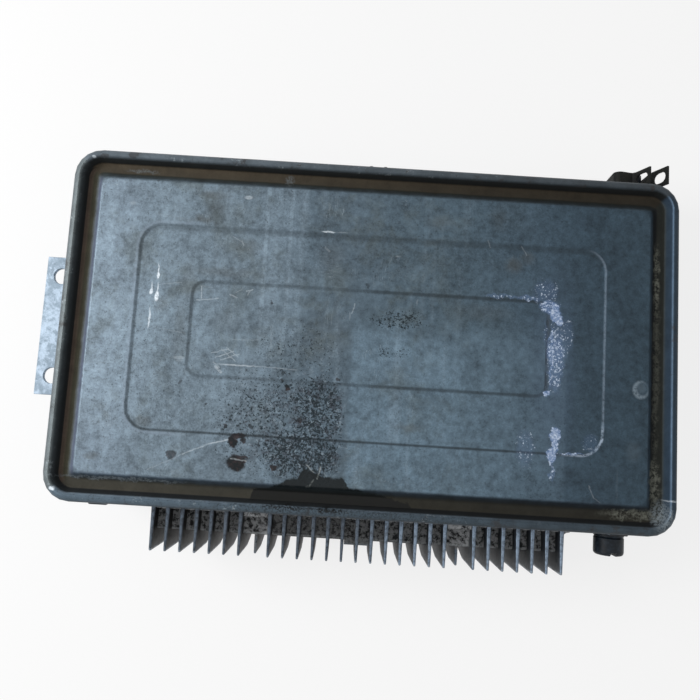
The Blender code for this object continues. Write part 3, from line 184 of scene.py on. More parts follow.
class Wire:
    """One output of a node. Python's operators on it add Math nodes."""

    def __init__(self, nodes, socket):
        self.nodes = nodes
        self.socket = socket

    def __add__(self, other):
        return self.nodes.maths("ADD", self, other)

    def __radd__(self, other):
        return self.nodes.maths("ADD", other, self)

    def __sub__(self, other):
        return self.nodes.maths("SUBTRACT", self, other)

    def __rsub__(self, other):
        return self.nodes.maths("SUBTRACT", other, self)

    def __mul__(self, other):
        return self.nodes.maths("MULTIPLY", self, other)

    def __rmul__(self, other):
        return self.nodes.maths("MULTIPLY", other, self)

    def __truediv__(self, other):
        return self.nodes.maths("DIVIDE", self, other)

    def __pow__(self, other):
        return self.nodes.maths("POWER", self, other)

    def __abs__(self):
        return self.nodes.maths("ABSOLUTE", self)

    def at_least(self, other):
        return self.nodes.maths("MAXIMUM", self, other)

    def at_most(self, other):
        return self.nodes.maths("MINIMUM", self, other)

    def rise(self, low, high, top=1.0):
        """0 below low, top above high, and a soft step between them."""
        settings = {"interpolation_type": "SMOOTHSTEP", "clamp": False}
        sockets = {"Value": self, "From Min": low, "From Max": high, "To Max": top}
        return self.nodes.node("ShaderNodeMapRange", settings, sockets)

    def fall(self, low, high, top=1.0):
        """top below low, and 0 above high."""
        return self.rise(high, low, top)

    def between(self, low, high, soft, top=1.0):
        return self.rise(low - soft, low + soft, top) * self.fall(high - soft, high + soft)


class Nodes:
    """A node tree in the making, of a material or of the world."""

    def __init__(self, tree):
        self.tree = tree

    def node(self, kind, settings=None, sockets=None, output=0):
        """Adds a node: its settings first, then what its sockets hold or are linked to."""
        made = self.tree.nodes.new(kind)
        for name, value in (settings or {}).items():
            if name == "stops":
                set_stops(made.color_ramp, value)
            else:
                setattr(made, name, value)
        for name, value in (sockets or {}).items():
            self.feed(made.inputs[name], value)
        return Wire(self, made.outputs[output])

    def feed(self, socket, value):
        if isinstance(value, Wire):
            self.tree.links.new(value.socket, socket)
        elif isinstance(value, tuple) and len(value) == 3 and socket.type == "RGBA":
            socket.default_value = (*value, 1.0)
        else:
            socket.default_value = value

    def maths(self, operation, *values):
        return self.node("ShaderNodeMath", {"operation": operation}, dict(enumerate(values)))

    def vector(self, operation, *values):
        output = "Value" if operation in ("LENGTH", "DISTANCE", "DOT_PRODUCT") else "Vector"
        settings = {"operation": operation}
        return self.node("ShaderNodeVectorMath", settings, dict(enumerate(values)), output)

    def mix(self, mask, under, over):
        """The colour under, with over laid on it where mask is 1."""
        settings = {"data_type": "RGBA"}
        return self.node("ShaderNodeMix", settings, {0: mask, 6: under, 7: over}, 2)

    def dim(self, colour, gain):
        """The colour made darker or lighter by a gain around 1."""
        settings = {"data_type": "RGBA", "clamp_factor": False}
        black = (0.0, 0.0, 0.0)
        return self.node("ShaderNodeMix", settings, {0: 1 - gain, 6: colour, 7: black}, 2)

    def ramp(self, value, low, high, stops):
        """A colour ramp over value from low to high, through stops of (value, colour)."""
        share = (value - low) / (high - low)
        shares = [((at - low) / (high - low), colour) for at, colour in stops]
        return self.node("ShaderNodeValToRGB", {"stops": shares}, {0: share})

    def seen_by_the_lens(self):
        """1 for rays that the camera sees straight or through a mirror or glass, else 0."""
        path = self.node("ShaderNodeLightPath").socket.node
        camera, glossy, through = (
            Wire(self, path.outputs[name])
            for name in ("Is Camera Ray", "Is Glossy Ray", "Is Transmission Ray")
        )
        return (camera + glossy + through).at_most(1.0)


class Finish(Nodes):
    """A material in the making, with the shorthand that this unit's surfaces share."""

    def __init__(self, name, gloss=0.2):
        self.material = bpy.data.materials.new(name)
        self.material.use_nodes = True
        super().__init__(self.material.node_tree)
        self.shader = self.tree.nodes["Principled BSDF"]
        self.shader.inputs["Specular IOR Level"].default_value = gloss
        self.place = self.node("ShaderNodeTexCoord", output="Object")
        split = self.node("ShaderNodeSeparateXYZ", sockets={0: self.place}).socket.node
        self.x, self.y, self.z = (Wire(self, output) for output in split.outputs)

    def outline(self, points):
        """The height, in mm, of a line drawn over x through points in mm."""
        bottom = min(point[1] for point in points)
        rise = max(point[1] for point in points) - bottom
        stops = [(x, ((y - bottom) / rise,) * 3) for x, y in points]
        return self.ramp(self.x / MM, points[0][0], points[-1][0], stops) * rise + bottom

    def stretched(self, across, along, up=1.0):
        """The place scaled, so that noise on it is drawn out where a scale is small."""
        sockets = {"Vector": self.place, "Scale": (across, along, up)}
        return self.node("ShaderNodeMapping", None, sockets)

    def waved(self, amount, wave_x, wave_y):
        """The flat place, moved by two noises around 0 times an amount in mm."""
        amount = amount * MM
        sockets = {"X": wave_x * amount + self.x, "Y": wave_y * amount + self.y, "Z": 0.0}
        return self.node("ShaderNodeCombineXYZ", None, sockets)

    def noise(self, size, detail=3.0, rough=0.55, warp=0.0, place=None, seed=0.0):
        """Cloudy noise with blotches about size mm across. A seed picks the pattern."""
        sockets = {
            "Vector": self.place if place is None else place,
            "W": seed * 40,
            "Scale": 1 / (size * MM),
            "Detail": detail,
            "Roughness": rough,
            "Distortion": warp,
        }
        return self.node("ShaderNodeTexNoise", {"noise_dimensions": "4D"}, sockets)

    def cells(self, size):
        """A colour at random for each cell of about size mm."""
        sockets = {"Vector": self.place, "Scale": 1 / (size * MM)}
        return self.node("ShaderNodeTexVoronoi", None, sockets, "Color")

    def oval(self, x, y, half_x, half_y, soft=0.3, strength=1.0, place=None):
        """A soft oval on the cover, in mm: its strength inside and 0 outside."""
        place = self.place if place is None else place
        scale = (1 / (half_x * MM), 1 / (half_y * MM), 0.0)
        away = self.vector("MULTIPLY_ADD", place, scale, (-x / half_x, -y / half_y, 0.0))
        return self.vector("LENGTH", away).fall(1 - soft, 1 + soft, strength)

    def ovals(self, table, soft, place=None):
        """Ovals in one mask, from rows of x, y, half sizes in mm and strength."""
        whole = 0.0
        for x, y, half_x, half_y, strength in table:
            oval = self.oval(x, y, half_x, half_y, soft, strength, place)
            whole = self.maths("MAXIMUM", whole, oval)
        return whole

    def stroke(self, x, y, end_x, end_y, width, strength, place):
        """A thin line from one point in mm to another, in a flat place."""
        start = Vector((x, y, 0.0)) * MM
        run = Vector((end_x, end_y, 0.0)) * MM - start
        if abs(run.x) < width * MM or abs(run.y) < width * MM:
            middle = ((x + end_x) / 2, (y + end_y) / 2)
            half = ((abs(end_x - x) + width) / 2, (abs(end_y - y) + width) / 2)
            return self.oval(*middle, *half, 0.35, strength, place)
        away = self.vector("SUBTRACT", place, tuple(start))
        share = self.vector("DOT_PRODUCT", away, tuple(run / run.length_squared))
        share = self.node("ShaderNodeClamp", None, {0: share})
        sockets = {0: tuple(run), "Scale": share}
        along = self.node("ShaderNodeVectorMath", {"operation": "SCALE"}, sockets)
        off = self.vector("DISTANCE", away, along)
        return off.fall(width * 0.25 * MM, width * 0.75 * MM, strength)

    def strokes(self, table, place):
        """Thin lines in one mask, from rows of x, y, x, y, width in mm and strength."""
        whole = 0.0
        for row in table:
            whole = self.maths("MAXIMUM", whole, self.stroke(*row[:5], row[5] ** 2, place))
        return whole

    def inset(self, half_x, half_y, corner):
        """How many mm inside a rounded rectangle a point is, less than 0 outside it."""
        across = abs(self.x) - (half_x - corner)
        along = abs(self.y) - (half_y - corner)
        outer_x = across.at_least(0.0)
        outer_y = along.at_least(0.0)
        outside = (outer_x * outer_x + outer_y * outer_y) ** 0.5
        inside = across.at_least(along).at_most(0.0)
        return (corner - outside - inside) / MM

    def relief(self, height, depth, distance):
        """Sets the surface relief that the light plays on."""
        sockets = {"Strength": depth, "Distance": distance, "Height": height}
        self.feed(self.shader.inputs["Normal"], self.node("ShaderNodeBump", None, sockets))

    def surface(self, **sockets):
        """Sets the shader's sockets: base_color for Base Color, and so on."""
        for name, value in sockets.items():
            self.feed(self.shader.inputs[name.replace("_", " ").title()], value)
        return self.material


def facing(finish):
    """How far a surface faces up, from -1 to 1."""
    normal = finish.node("ShaderNodeNewGeometry", output="Normal")
    return finish.node("ShaderNodeSeparateXYZ", sockets={0: normal}, output="Z")


# Pale drips, scratches and scuffs on the cover, and below them on its rim: x, y to x, y and
# width in mm, and strength
PALE_LINES = (
    (-89.2, 25.7, -89.2, 20.0, 0.5, 0.85),
    (-89.2, 21.8, -89.2, 20.3, 1.1, 1.0),
    (-91.2, 17.8, -91.4, 13.2, 0.45, 0.7),
    (-91.4, 14.8, -91.5, 13.6, 1.2, 0.9),
    (-88.8, 17.8, -88.9, 13.8, 0.45, 0.75),
    (-88.9, 13.4, -89.0, 11.2, 1.7, 1.0),
    (-91.3, 6.8, -91.1, -0.6, 0.6, 0.8),
    (-88.6, 17.2, -79.3, 18.6, 0.35, 0.32),
    (-89.8, -0.6, -75.6, -2.6, 0.35, 0.25),
    (-79.2, -12.6, -75.8, -12.9, 1.1, 0.4),
    (-78.4, -14.2, -75.9, -13.9, 0.5, 0.3),
    (-71.0, 17.6, -70.5, 12.6, 0.5, 0.5),
    (-72.4, 11.7, -63.6, 12.8, 0.45, 0.45),
    (-71.6, 18.0, -66.0, 17.2, 0.4, 0.25),
    (-58.6, 14.8, -55.8, 13.8, 0.6, 0.45),
    (-56.4, 16.0, -54.0, 17.3, 0.4, 0.35),
    (-52.2, 16.6, -49.4, 17.6, 0.5, 0.5),
    (-50.4, 17.0, -51.4, 15.2, 0.5, 0.4),
    (-59.2, 39.4, -55.4, 37.4, 0.4, 0.35),
    (-55.6, 37.8, -54.6, 36.2, 0.6, 0.4),
    (-55.0, 56.6, -52.9, 56.2, 1.2, 0.55),
    (-103.1, 51.2, -101.3, 50.8, 1.1, 0.35),
    (-92.0, 47.2, -77.0, 45.0, 1.3, 0.16),
    (-21.8, 43.8, -17.0, 43.7, 0.55, 0.8),
    (-15.6, 43.8, -11.0, 43.7, 0.4, 0.35),
    (-20.4, 37.3, -18.6, 35.7, 0.8, 0.35),
    (-6.6, 14.2, -7.8, 9.8, 0.45, 0.45),
    (-8.6, 10.6, -8.3, 7.4, 0.4, 0.3),
    (-64.4, -10.0, -57.5, -7.8, 0.4, 0.5),
    (-62.6, -11.8, -55.6, -8.8, 0.4, 0.5),
    (-60.6, -12.6, -53.0, -9.6, 0.4, 0.5),
    (-58.4, -7.4, -53.4, -11.0, 0.4, 0.45),
    (-60.4, -8.2, -54.4, -12.8, 0.4, 0.45),
    (-61.6, -14.5, -45.0, -14.3, 0.4, 0.6),
    (-45.0, -14.3, -29.0, -14.9, 0.35, 0.4),
    (-62.4, -15.4, -60.0, -17.6, 1.1, 0.55),
    (-63.4, -13.6, -60.6, -15.8, 0.5, 0.45),
    (-56.4, -4.0, -45.6, -3.6, 0.35, 0.3),
    (-40.5, 1.5, -40.1, -8.0, 0.5, 0.22),
    (-36.9, 2.0, -36.2, -9.5, 0.4, 0.2),
    (-86.0, -58.8, -72.4, -51.7, 0.45, 0.32),
    (-72.4, -51.7, -61.6, -46.8, 0.5, 0.5),
    (-61.6, -46.8, -54.6, -44.9, 0.5, 0.6),
    (-22.0, -53.2, -19.2, -55.8, 0.4, 0.5),
    (-16.3, -53.6, -17.6, -58.4, 0.4, 0.55),
    (-18.9, -58.8, -20.4, -61.4, 0.4, 0.5),
    (-53.0, -52.5, -46.8, -53.2, 0.5, 0.5),
    (9.6, 35.3, 11.2, 35.1, 0.7, 0.35),
    (19.3, 17.6, 19.5, 15.4, 0.5, 0.3),
    (47.6, 44.2, 48.8, 41.6, 0.5, 0.3),
    (62.0, 42.8, 64.2, 39.2, 0.5, 0.32),
    (92.3, -54.6, 94.0, -59.2, 0.55, 0.35),
    (94.0, -59.2, 97.0, -61.0, 0.5, 0.25),
    (103.6, -48.0, 103.4, -60.0, 0.6, 0.14),
)
RIM_MARKS = (
    (123.2, -58.6, 127.8, -58.9, 0.45, 0.6),
    (-123.3, -68.2, -122.5, -68.0, 1.4, 1.0),
    (-120.2, 69.7, -119.6, 69.6, 0.9, 0.8),
)

# Dried dark drops on the cover: x, y and half sizes in mm, and strength
DARK_DROPS = (
    (-52.6, -45.4, 1.6, 2.4, 1.0),
    (-50.4, -43.1, 3.2, 0.9, 0.95),
    (-48.5, -44.8, 1.1, 1.0, 0.9),
    (-50.7, -54.1, 3.8, 3.2, 1.0),
    (-49.0, -51.7, 2.4, 1.2, 0.9),
    (-35.4, -54.9, 1.8, 1.3, 0.95),
    (-41.9, -46.2, 0.5, 1.5, 0.7),
    (-38.9, -44.2, 1.0, 0.6, 0.75),
    (-31.9, -22.8, 1.0, 1.0, 0.95),
    (-34.0, -16.6, 0.9, 0.8, 0.6),
    (-34.6, -19.4, 0.7, 0.6, 0.7),
    (-56.5, -39.5, 0.7, 0.7, 0.85),
    (-45.8, -39.3, 1.0, 0.7, 0.7),
    (-47.6, -36.6, 0.7, 0.5, 0.7),
    (-49.8, -16.4, 0.7, 0.6, 0.55),
    (-11.6, -18.0, 0.7, 0.6, 0.75),
    (-26.4, -35.3, 0.9, 1.0, 0.8),
    (-77.4, -52.6, 2.0, 1.8, 0.75),
    (-76.3, -22.7, 0.8, 0.7, 0.6),
    (-65.2, -31.0, 0.8, 0.7, 0.7),
    (-41.0, 12.8, 0.7, 0.7, 0.7),
    (-92.2, 60.8, 0.6, 0.5, 0.6),
    (-116.2, -22.8, 0.6, 0.9, 0.5),
    (-1.6, 22.2, 1.2, 0.8, 0.5),
    (-24.0, -2.0, 0.6, 0.5, 0.55),
)

# Brown-grey smudges on the cover: x, y and half sizes in mm, and strength
SMUDGES = (
    (-69.0, 56.5, 5.0, 2.0, 0.5),
    (-67.5, 51.0, 3.5, 6.0, 0.38),
    (-72.0, 46.0, 4.0, 1.6, 0.55),
    (-61.0, 24.0, 14.0, 1.8, 0.36),
    (-76.5, 19.0, 3.5, 6.5, 0.3),
    (-78.0, -2.0, 3.0, 13.0, 0.26),
    (-86.4, 9.2, 2.8, 2.4, 0.32),
    (-54.0, 35.5, 6.0, 3.0, 0.34),
    (-90.0, -39.6, 3.0, 2.2, 0.42),
    (-109.0, -54.6, 2.8, 1.3, 0.45),
    (-60.0, 3.0, 5.0, 4.0, 0.2),
    (-18.0, -1.0, 9.0, 9.0, 0.22),
    (-17.0, 33.0, 5.0, 6.0, 0.26),
    (27.0, 51.0, 5.0, 3.0, 0.3),
    (59.0, 34.5, 3.4, 2.8, 0.5),
    (64.5, 38.0, 3.0, 2.6, 0.34),
    (18.0, -35.8, 5.0, 1.5, 0.42),
    (48.0, 14.0, 10.0, 3.0, 0.2),
    (52.0, 54.0, 3.0, 5.0, 0.2),
)


# White corrosion on the cover: x, y and half sizes in mm, and strength
CRUST = (
    (58.0, 21.0, 11.5, 0.8, 0.62),
    (50.5, 21.4, 2.4, 1.0, 0.62),
    (66.0, 20.8, 5.5, 1.3, 0.75),
    (72.8, 24.2, 5.4, 5.2, 0.55),
    (74.0, 18.0, 3.6, 2.8, 1.0),
    (76.8, 16.0, 2.4, 3.8, 1.7),
    (77.8, 12.6, 2.4, 2.2, 2.0),
    (81.6, 6.0, 3.4, 8.0, 0.5),
    (73.2, 7.0, 0.7, 6.5, 0.5),
    (77.6, -0.6, 4.0, 6.4, 0.95),
    (77.6, -4.0, 3.6, 14.5, 0.75),
    (75.6, -3.0, 0.9, 13.5, 1.1),
    (74.2, -18.4, 1.3, 1.3, 1.4),
    (78.4, -35.4, 1.9, 3.4, 1.8),
    (78.3, -38.8, 1.9, 3.0, 1.6),
    (76.9, -43.4, 1.8, 2.9, 1.9),
    (77.1, -49.6, 1.1, 4.2, 0.7),
    (85.0, -42.4, 5.6, 0.5, 0.9),
    (92.6, -37.6, 3.6, 4.0, 0.45),
    (66.0, -41.0, 4.0, 8.0, 0.5),
)

# Where the cover is freckled with dark oil, left of the wiped part and in it
FRECKLED = (
    (-19.0, -32.0, 12.5, 15.0, 1.0),
    (-24.0, -49.0, 17.5, 11.0, 1.1),
    (-34.0, -38.0, 27.0, 22.0, 0.66),
    (-28.0, -10.0, 20.0, 14.0, 0.42),
    (-85.0, -20.0, 40.0, 40.0, 0.2),
)
WIPED_FRECKLES = (
    (12.0, 8.4, 11.0, 4.4, 0.75),
    (10.0, -5.2, 7.5, 2.2, 0.6),
)

# The edge of the oil pool that ran into the lower channel: x and y in mm
POOL_EDGE = (
    (-45.0, -70.0),
    (-43.4, -64.0),
    (-38.0, -63.2),
    (-33.0, -61.6),
    (-29.0, -59.4),
    (-25.5, -58.6),
    (-23.6, -55.2),
    (-20.8, -54.6),
    (-18.5, -55.6),
    (-15.0, -57.5),
    (-6.7, -57.8),
    (-4.6, -61.4),
    (0.0, -62.2),
    (12.0, -64.3),
    (20.0, -66.6),
    (23.0, -70.0),
)

# Oil that splashed over the rim: x, y and half sizes in mm, and strength
SPLASHES = (
    (-29.0, -70.2, 9.0, 1.3, 0.9),
    (-12.0, -70.4, 7.0, 1.1, 0.9),
)

# Dust, and washed out pale dirt, in the channel: x, y and half sizes in mm, and strength
DUSTY = (
    (119.7, 32.0, 1.2, 13.0, 1.0),
    (119.8, -4.0, 1.5, 42.0, 0.38),
    (119.6, -52.0, 2.4, 9.0, 1.0),
    (111.0, -65.4, 11.0, 2.0, 0.85),
)
WASHED = (
    (-98.0, -63.2, 24.0, 0.7, 0.5),
    (-37.5, 65.5, 1.6, 2.4, 0.4),
    (-100.0, 66.0, 6.0, 0.8, 0.35),
    (122.4, -66.4, 3.6, 6.0, 0.8),
)

# The round mark by the socket end and the smear below it
MARK = (112.9, -13.8, 2.0, 2.2, 0.12)
SMEAR = (110.0, -40.0, 2.8, 3.8, 0.07)

# Light cracks in the dried oil, as the pale lines are given
CRACKS = (
    (-22.2, -53.0, -19.2, -55.8, 0.5, 0.75),
    (-16.3, -53.2, -17.6, -58.4, 0.5, 0.8),
    (-18.9, -58.8, -20.4, -61.4, 0.5, 0.75),
    (-20.4, -61.4, -22.0, -61.8, 0.45, 0.5),
    (-15.0, -55.6, -14.2, -57.0, 0.45, 0.5),
    (-52.8, -52.3, -46.8, -53.0, 0.6, 0.55),
)


def field_colour(f, x, y, mottle, grain, wavy, freckles):
    """The cover's flat metal: its smears, wiped part, stains, hair scratches and freckles, with
    painted light: a painted sheen at the bracket end and painted reflection bands.
    """
    colour = f.ramp(x, -128, 128, COVER_TONE_AND_PAINTED_LIGHT)
    wiped = x.between(-6.5, 82.0, 1.2) * x.fall(10.0, 130.0) * y.fall(-4.0, 12.0, 0.6)
    colour = f.mix(wiped * (mottle + 0.4), colour, WIPED)
    # Painted sheen: a paler oval over the bracket end, where the window light falls
    colour = f.mix(f.oval(-114, 0, 20, 46, 0.6, 0.42) * (mottle + 0.4), colour, PALE_METAL)
    # Faint pale vertical streaks: partly wipe marks, partly painted reflection
    drawn = f.noise(5.5, 4, 0.6, place=f.stretched(1.0, 0.05), seed=0.4)
    colour = f.mix(drawn.rise(0.5, 0.68, 0.24) * x.fall(0.0, 70.0), colour, PALE_METAL)
    # Painted reflections: pale vertical bands on the upper field
    reflection_bands = x.between(-46.2, -44.4, 0.5, 0.7).at_least(x.between(-36.2, -34.4, 0.5, 0.6))
    reflection_bands = reflection_bands.at_least(x.between(-46.0, -28.0, 1.5, 0.25))
    reflection_bands = reflection_bands.at_least(x.between(-90.4, -87.2, 0.8, 0.22))
    colour = f.mix(reflection_bands * y.rise(-14.0, 0.0) * (grain * 0.6 + 0.3), colour, PALE_METAL)

    smudged = f.ovals(SMUDGES, 0.7, wavy) * (0.3 + f.noise(2.2, 4, 0.7, 0.4, seed=0.7) * 1.2)
    colour = f.mix(smudged, colour, paint(76, 76, 72))
    stain = f.noise(19, 6, 0.7, 0.5, seed=0.91).rise(0.48, 0.66, 0.44) * x.fall(0.0, 80.0)
    colour = f.mix(stain, colour, paint(82, 90, 89))
    pits = f.noise(1.0, 2, 0.6, seed=0.52).rise(0.6, 0.7, 0.5)
    colour = f.mix(pits, colour, f.mix(x.rise(20.0, 90.0), paint(54, 62, 66), paint(36, 47, 55)))
    shaded = x.fall(-70.0, -20.0, 0.08) * y.fall(-62.0, -20.0)
    colour = f.dim(colour, 1.02 + (mottle - 0.5) * 1.5 + (grain - 0.5) * 2.5 - shaded)

    for seed, across, along in ((0.63, 1.0, 0.16), (0.27, 0.2, 1.0)):
        hair = f.noise(1.6, 2, 0.5, 1.4, place=f.stretched(across, along), seed=seed)
        hair = hair.between(0.494, 0.506, 0.006, 0.34)
        hair = hair * f.noise(16, 3, 0.6, seed=seed + 0.1).rise(0.54, 0.66) * x.fall(-10.0, 60.0)
        colour = f.mix(hair, colour, paint(176, 190, 200))

    cloud = freckles.rise(0.25, 0.9, 0.8) * f.noise(2.6, 4, 0.7, 0.3, seed=0.81).rise(0.46, 0.62)
    colour = f.mix(cloud, colour, paint(58, 60, 67))
    pale = f.noise(1.3, 3, 0.6, 0.4, seed=0.77).rise(0.55, 0.66, 0.5) * freckles
    return f.mix(pale, colour, paint(156, 172, 184))


def step_lines(f, x, y, outer, inner, grain, colour):
    """Dirt and painted shade along the panels' pressed steps, and their rubbed edges with
    painted highlights.
    """
    # The dark line along the outer step: partly dirt, partly painted shade of the step's wall,
    # weighted by lit. The soft band inside the top step is a painted shadow, and the inner
    # step's soft line is partly painted shade
    lit = (y - x * 0.3).fall(-30.0, 8.0, 0.6)
    ring = outer.between(-0.45, 0.5, 0.4) * x.fall(86.0, 94.0)
    dark = ring * (0.26 + lit * 0.75)
    dark = dark.at_least(outer.between(-0.4, 1.9, 0.9, 0.34) * y.rise(36.0, 41.0))
    dark = dark.at_least(inner.between(-0.7, 0.7, 0.5) * (0.3 + x.rise(-4.0, 4.0, 0.28)))
    bits = inner.between(-0.3, 0.9, 0.3) * x.rise(72.5, 73.5) * y.between(-18.0, 14.0, 2.0)
    dark = dark.at_least(bits * grain.rise(0.36, 0.5))
    colour = f.mix(dark, colour, paint(34, 39, 41))
    # The pale line outside the outer step at the bracket end is a painted highlight on its
    # rounded edge. The pale lines at the socket end are partly wear, partly painted highlight
    pale = outer.between(-1.7, -0.6, 0.5, 0.3) * x.fall(-80.0, -70.0)
    end_line = outer.between(-0.45, 0.2, 0.3, 0.28) * x.rise(88.0, 96.0)
    pale = pale.at_least(end_line * grain.rise(0.3, 0.56))
    corner_line = outer.between(-0.5, 0.4, 0.3) * x.rise(79.0, 82.0) * y.fall(-34.0, -28.0)
    pale = pale.at_least(corner_line * grain.rise(0.4, 0.56))
    return f.mix(pale, colour, paint(138, 152, 168))


def rim_colour(f, x, y, inset, mottle, grain, worms, crumbs, wavy):
    """The rim and its channel with their dirt and their painted light and shade, by side, from
    the edge inwards.
    """
    end = COVER_HALF_X / MM
    side = COVER_HALF_Y / MM
    silt = f.noise(7, 6, 0.72, 0.4, seed=0.07)
    band = inset + (silt - 0.5) * inset.rise(6.0, 9.5, 1.8)
    from_end = x * -1.0 + end
    from_side = abs(y) * -1.0 + side
    at_right = (from_side - from_end).rise(-1.0, 2.0)
    at_left = (from_side + from_end).rise(2 * end - 1.0, 2 * end + 2.0)
    top, bottom, left, right = (
        f.ramp(band, 0.0, RIM_BAND, stops)
        for stops in (TOP_RIM_DIRT_AND_PAINTED_LIGHT, BOTTOM_RIM_DIRT_AND_PAINTED_LIGHT, LEFT_RIM_DIRT_AND_PAINTED_LIGHT, RIGHT_RIM_DIRT_AND_PAINTED_LIGHT)
    )
    trim = f.mix(y.fall(-4.0, 4.0), top, bottom)
    # Painted light: the top and bottom rims lighter at the bracket end and darker towards the
    # socket end as painted shade
    trim = f.dim(trim, x.fall(-128.0, 110.0, 0.78) + 0.56)
    trim = f.mix(at_left, trim, left)
    trim = f.mix(at_right, trim, right)
    trim = f.dim(trim, 1.0 + (silt - 0.5) * 1.3 + (grain - 0.5) * 0.7)

    # The crest's brown stains, bright flecks and dark specks
    crest = inset.fall(3.4, 4.2)
    scuff = f.noise(6, 7, 0.75, 0.3, place=f.stretched(0.45, 0.8), seed=0.95)
    brown = f.noise(8, 6, 0.72, 0.5, seed=0.15).rise(0.55, 0.63, 0.6)
    trim = f.mix(brown * crest, trim, paint(54, 50, 48))
    flecked = (grain + scuff * 0.6).rise(0.9, 0.97, 0.55) * crest * x.fall(-10.0, 90.0)
    trim = f.mix(flecked, trim, paint(170, 180, 186))
    low_crest = crest * y.fall(-70.0, -66.0)
    low_specks = (worms + f.oval(-15.0, -71.5, 50.0, 6.0, 0.6, 0.1)).rise(0.6, 0.65, 0.6)
    trim = f.mix(low_specks * low_crest, trim, paint(34, 38, 40))

    dust = f.noise(1.9, 6, 0.82, seed=0.4).rise(0.42, 0.58)
    trim = f.mix(f.ovals(DUSTY, 0.5, wavy) * dust, trim, paint(112, 114, 105))
    chalk = crumbs.rise(0.4, 0.56)
    trim = f.mix(f.ovals(WASHED, 0.5, wavy) * chalk, trim, paint(122, 132, 138))
    skirt = facing(f).fall(0.1, 0.6) * inset.fall(0.6, 1.6)
    return f.mix(skirt, trim, f.dim(paint(80, 92, 102), mottle * 1.6 + 0.2))


def cover_finish():
    """The cover's blue-grey metal: smears, scratches, oil, channel dirt and white corrosion,
    with painted light and shade over it and its rim.
    """
    f = Finish("weathered_cover_metal")
    x, y = f.x / MM, f.y / MM
    inset = f.inset(COVER_HALF_X, COVER_HALF_Y, COVER_CORNER)
    outer = f.inset(*OUTER_PANEL)
    inner = f.inset(*INNER_PANEL)
    mottle = f.noise(14, 8, 0.72)
    grain = f.noise(3.2, 5, 0.85, seed=0.19)
    waves = (f.noise(2.6, seed=0.45) - 0.5, f.noise(2.6, seed=0.66) - 0.5)
    wavy = f.waved(4.5, *waves)
    unsteady = f.waved(1.3, *waves)

    freckled = f.ovals(FRECKLED, 0.6, wavy) * x.fall(-10.5, -6.5)
    colour = field_colour(f, x, y, mottle, grain, wavy, freckled)
    colour = step_lines(f, x, y, outer, inner, grain, colour)
    freckled = freckled.at_least(f.ovals(WIPED_FRECKLES, 0.5, wavy))
    worms = f.noise(0.75, 3, 0.62, 0.5, seed=0.13)
    specks = (worms + freckled * 0.165).rise(0.64, 0.69) * freckled.rise(0.06, 0.3, 0.92)
    colour = f.mix(specks, colour, paint(26, 35, 40))
    dried = f.mix(grain.rise(0.45, 0.6), paint(26, 30, 33), paint(52, 44, 45))
    colour = f.mix(f.ovals(DARK_DROPS, 0.22, wavy), colour, dried)

    # Scratches, drips and the mark by the socket end, whose pale crescent is a painted highlight
    # on a small dent
    broken = f.noise(0.9, 3, 0.6, seed=0.29).rise(0.34, 0.52)
    scratched = f.strokes(PALE_LINES, unsteady) * (broken * 0.6 + 0.4)
    colour = f.mix(scratched, colour, CHALK)
    # Painted highlight: a pale crescent on one side of the small dent by the socket end
    ring = f.oval(112.6, -14.6, 3.3, 3.7, 0.16, 0.34) - f.oval(113.4, -14.2, 2.3, 2.7, 0.3, 0.34)
    mark = ring.at_least(0.0) * (broken + 0.4)
    mark = mark.at_least(f.ovals((MARK, SMEAR), 0.6))
    colour = f.mix(mark, colour, paint(150, 166, 178))

    # White corrosion in a bluish bloom
    crumbs = f.noise(0.85, 4, 0.75, seed=0.83)
    bloom = f.oval(77.5, -8.0, 8.0, 34.0, 0.8, 0.26) * x.fall(84.0, 88.0)
    colour = f.mix(bloom, colour, paint(82, 100, 122))
    crusted = f.ovals(CRUST, 0.4, wavy)
    colour = f.mix(crusted.rise(0.1, 1.6, 0.78), colour, paint(108, 134, 176))
    crust = (crumbs + crusted * 0.16).rise(0.64, 0.74) * crusted.rise(0.05, 0.3, 0.95)
    crust_colour = f.mix(crumbs.rise(0.46, 0.64), paint(136, 158, 194), paint(212, 226, 244))
    colour = f.mix(crust, colour, crust_colour)

    trim = rim_colour(f, x, y, inset, mottle, grain, worms, crumbs, wavy)
    trim = f.mix(f.strokes(RIM_MARKS, unsteady) * 0.9, trim, CHALK)
    colour = f.mix(inset.fall(11.0, 12.6), colour, trim)

    # The oil pool that ran into the lower channel
    spread = f.outline(POOL_EDGE) - y + f.noise(3.4, 6, 0.75, 0.4, seed=0.33) * 6.0
    oil = spread.rise(2.5, 3.5) * x.between(-46.0, 22.0, 1.0) * inset.rise(4.6, 5.4, 0.97)
    oil = oil.at_least(f.ovals(SPLASHES, 0.4, wavy) * worms.rise(0.42, 0.52))
    oil_colour = f.mix(inset.fall(8.5, 11.0), paint(20, 26, 28), paint(8, 9, 8))
    colour = f.mix(oil, colour, oil_colour)
    cracks = f.strokes(CRACKS, unsteady) * broken
    colour = f.mix(cracks * 0.8, colour, paint(128, 134, 132))

    dirty = inset.between(3.6, 10.5, 0.6).at_least(crust)
    rough = 0.5 + (mottle - 0.5) * 0.3 + (grain - 0.5) * 0.25 + dirty * 0.25 - oil * 0.25
    metal = 0.3 - dirty.at_least(oil) * 0.3
    f.relief(f.noise(9, 3, 0.72) * 1.4 + grain * 0.5, 0.5, 0.3 * MM)
    return f.surface(base_color=colour, roughness=rough.at_least(0.15), metallic=metal)


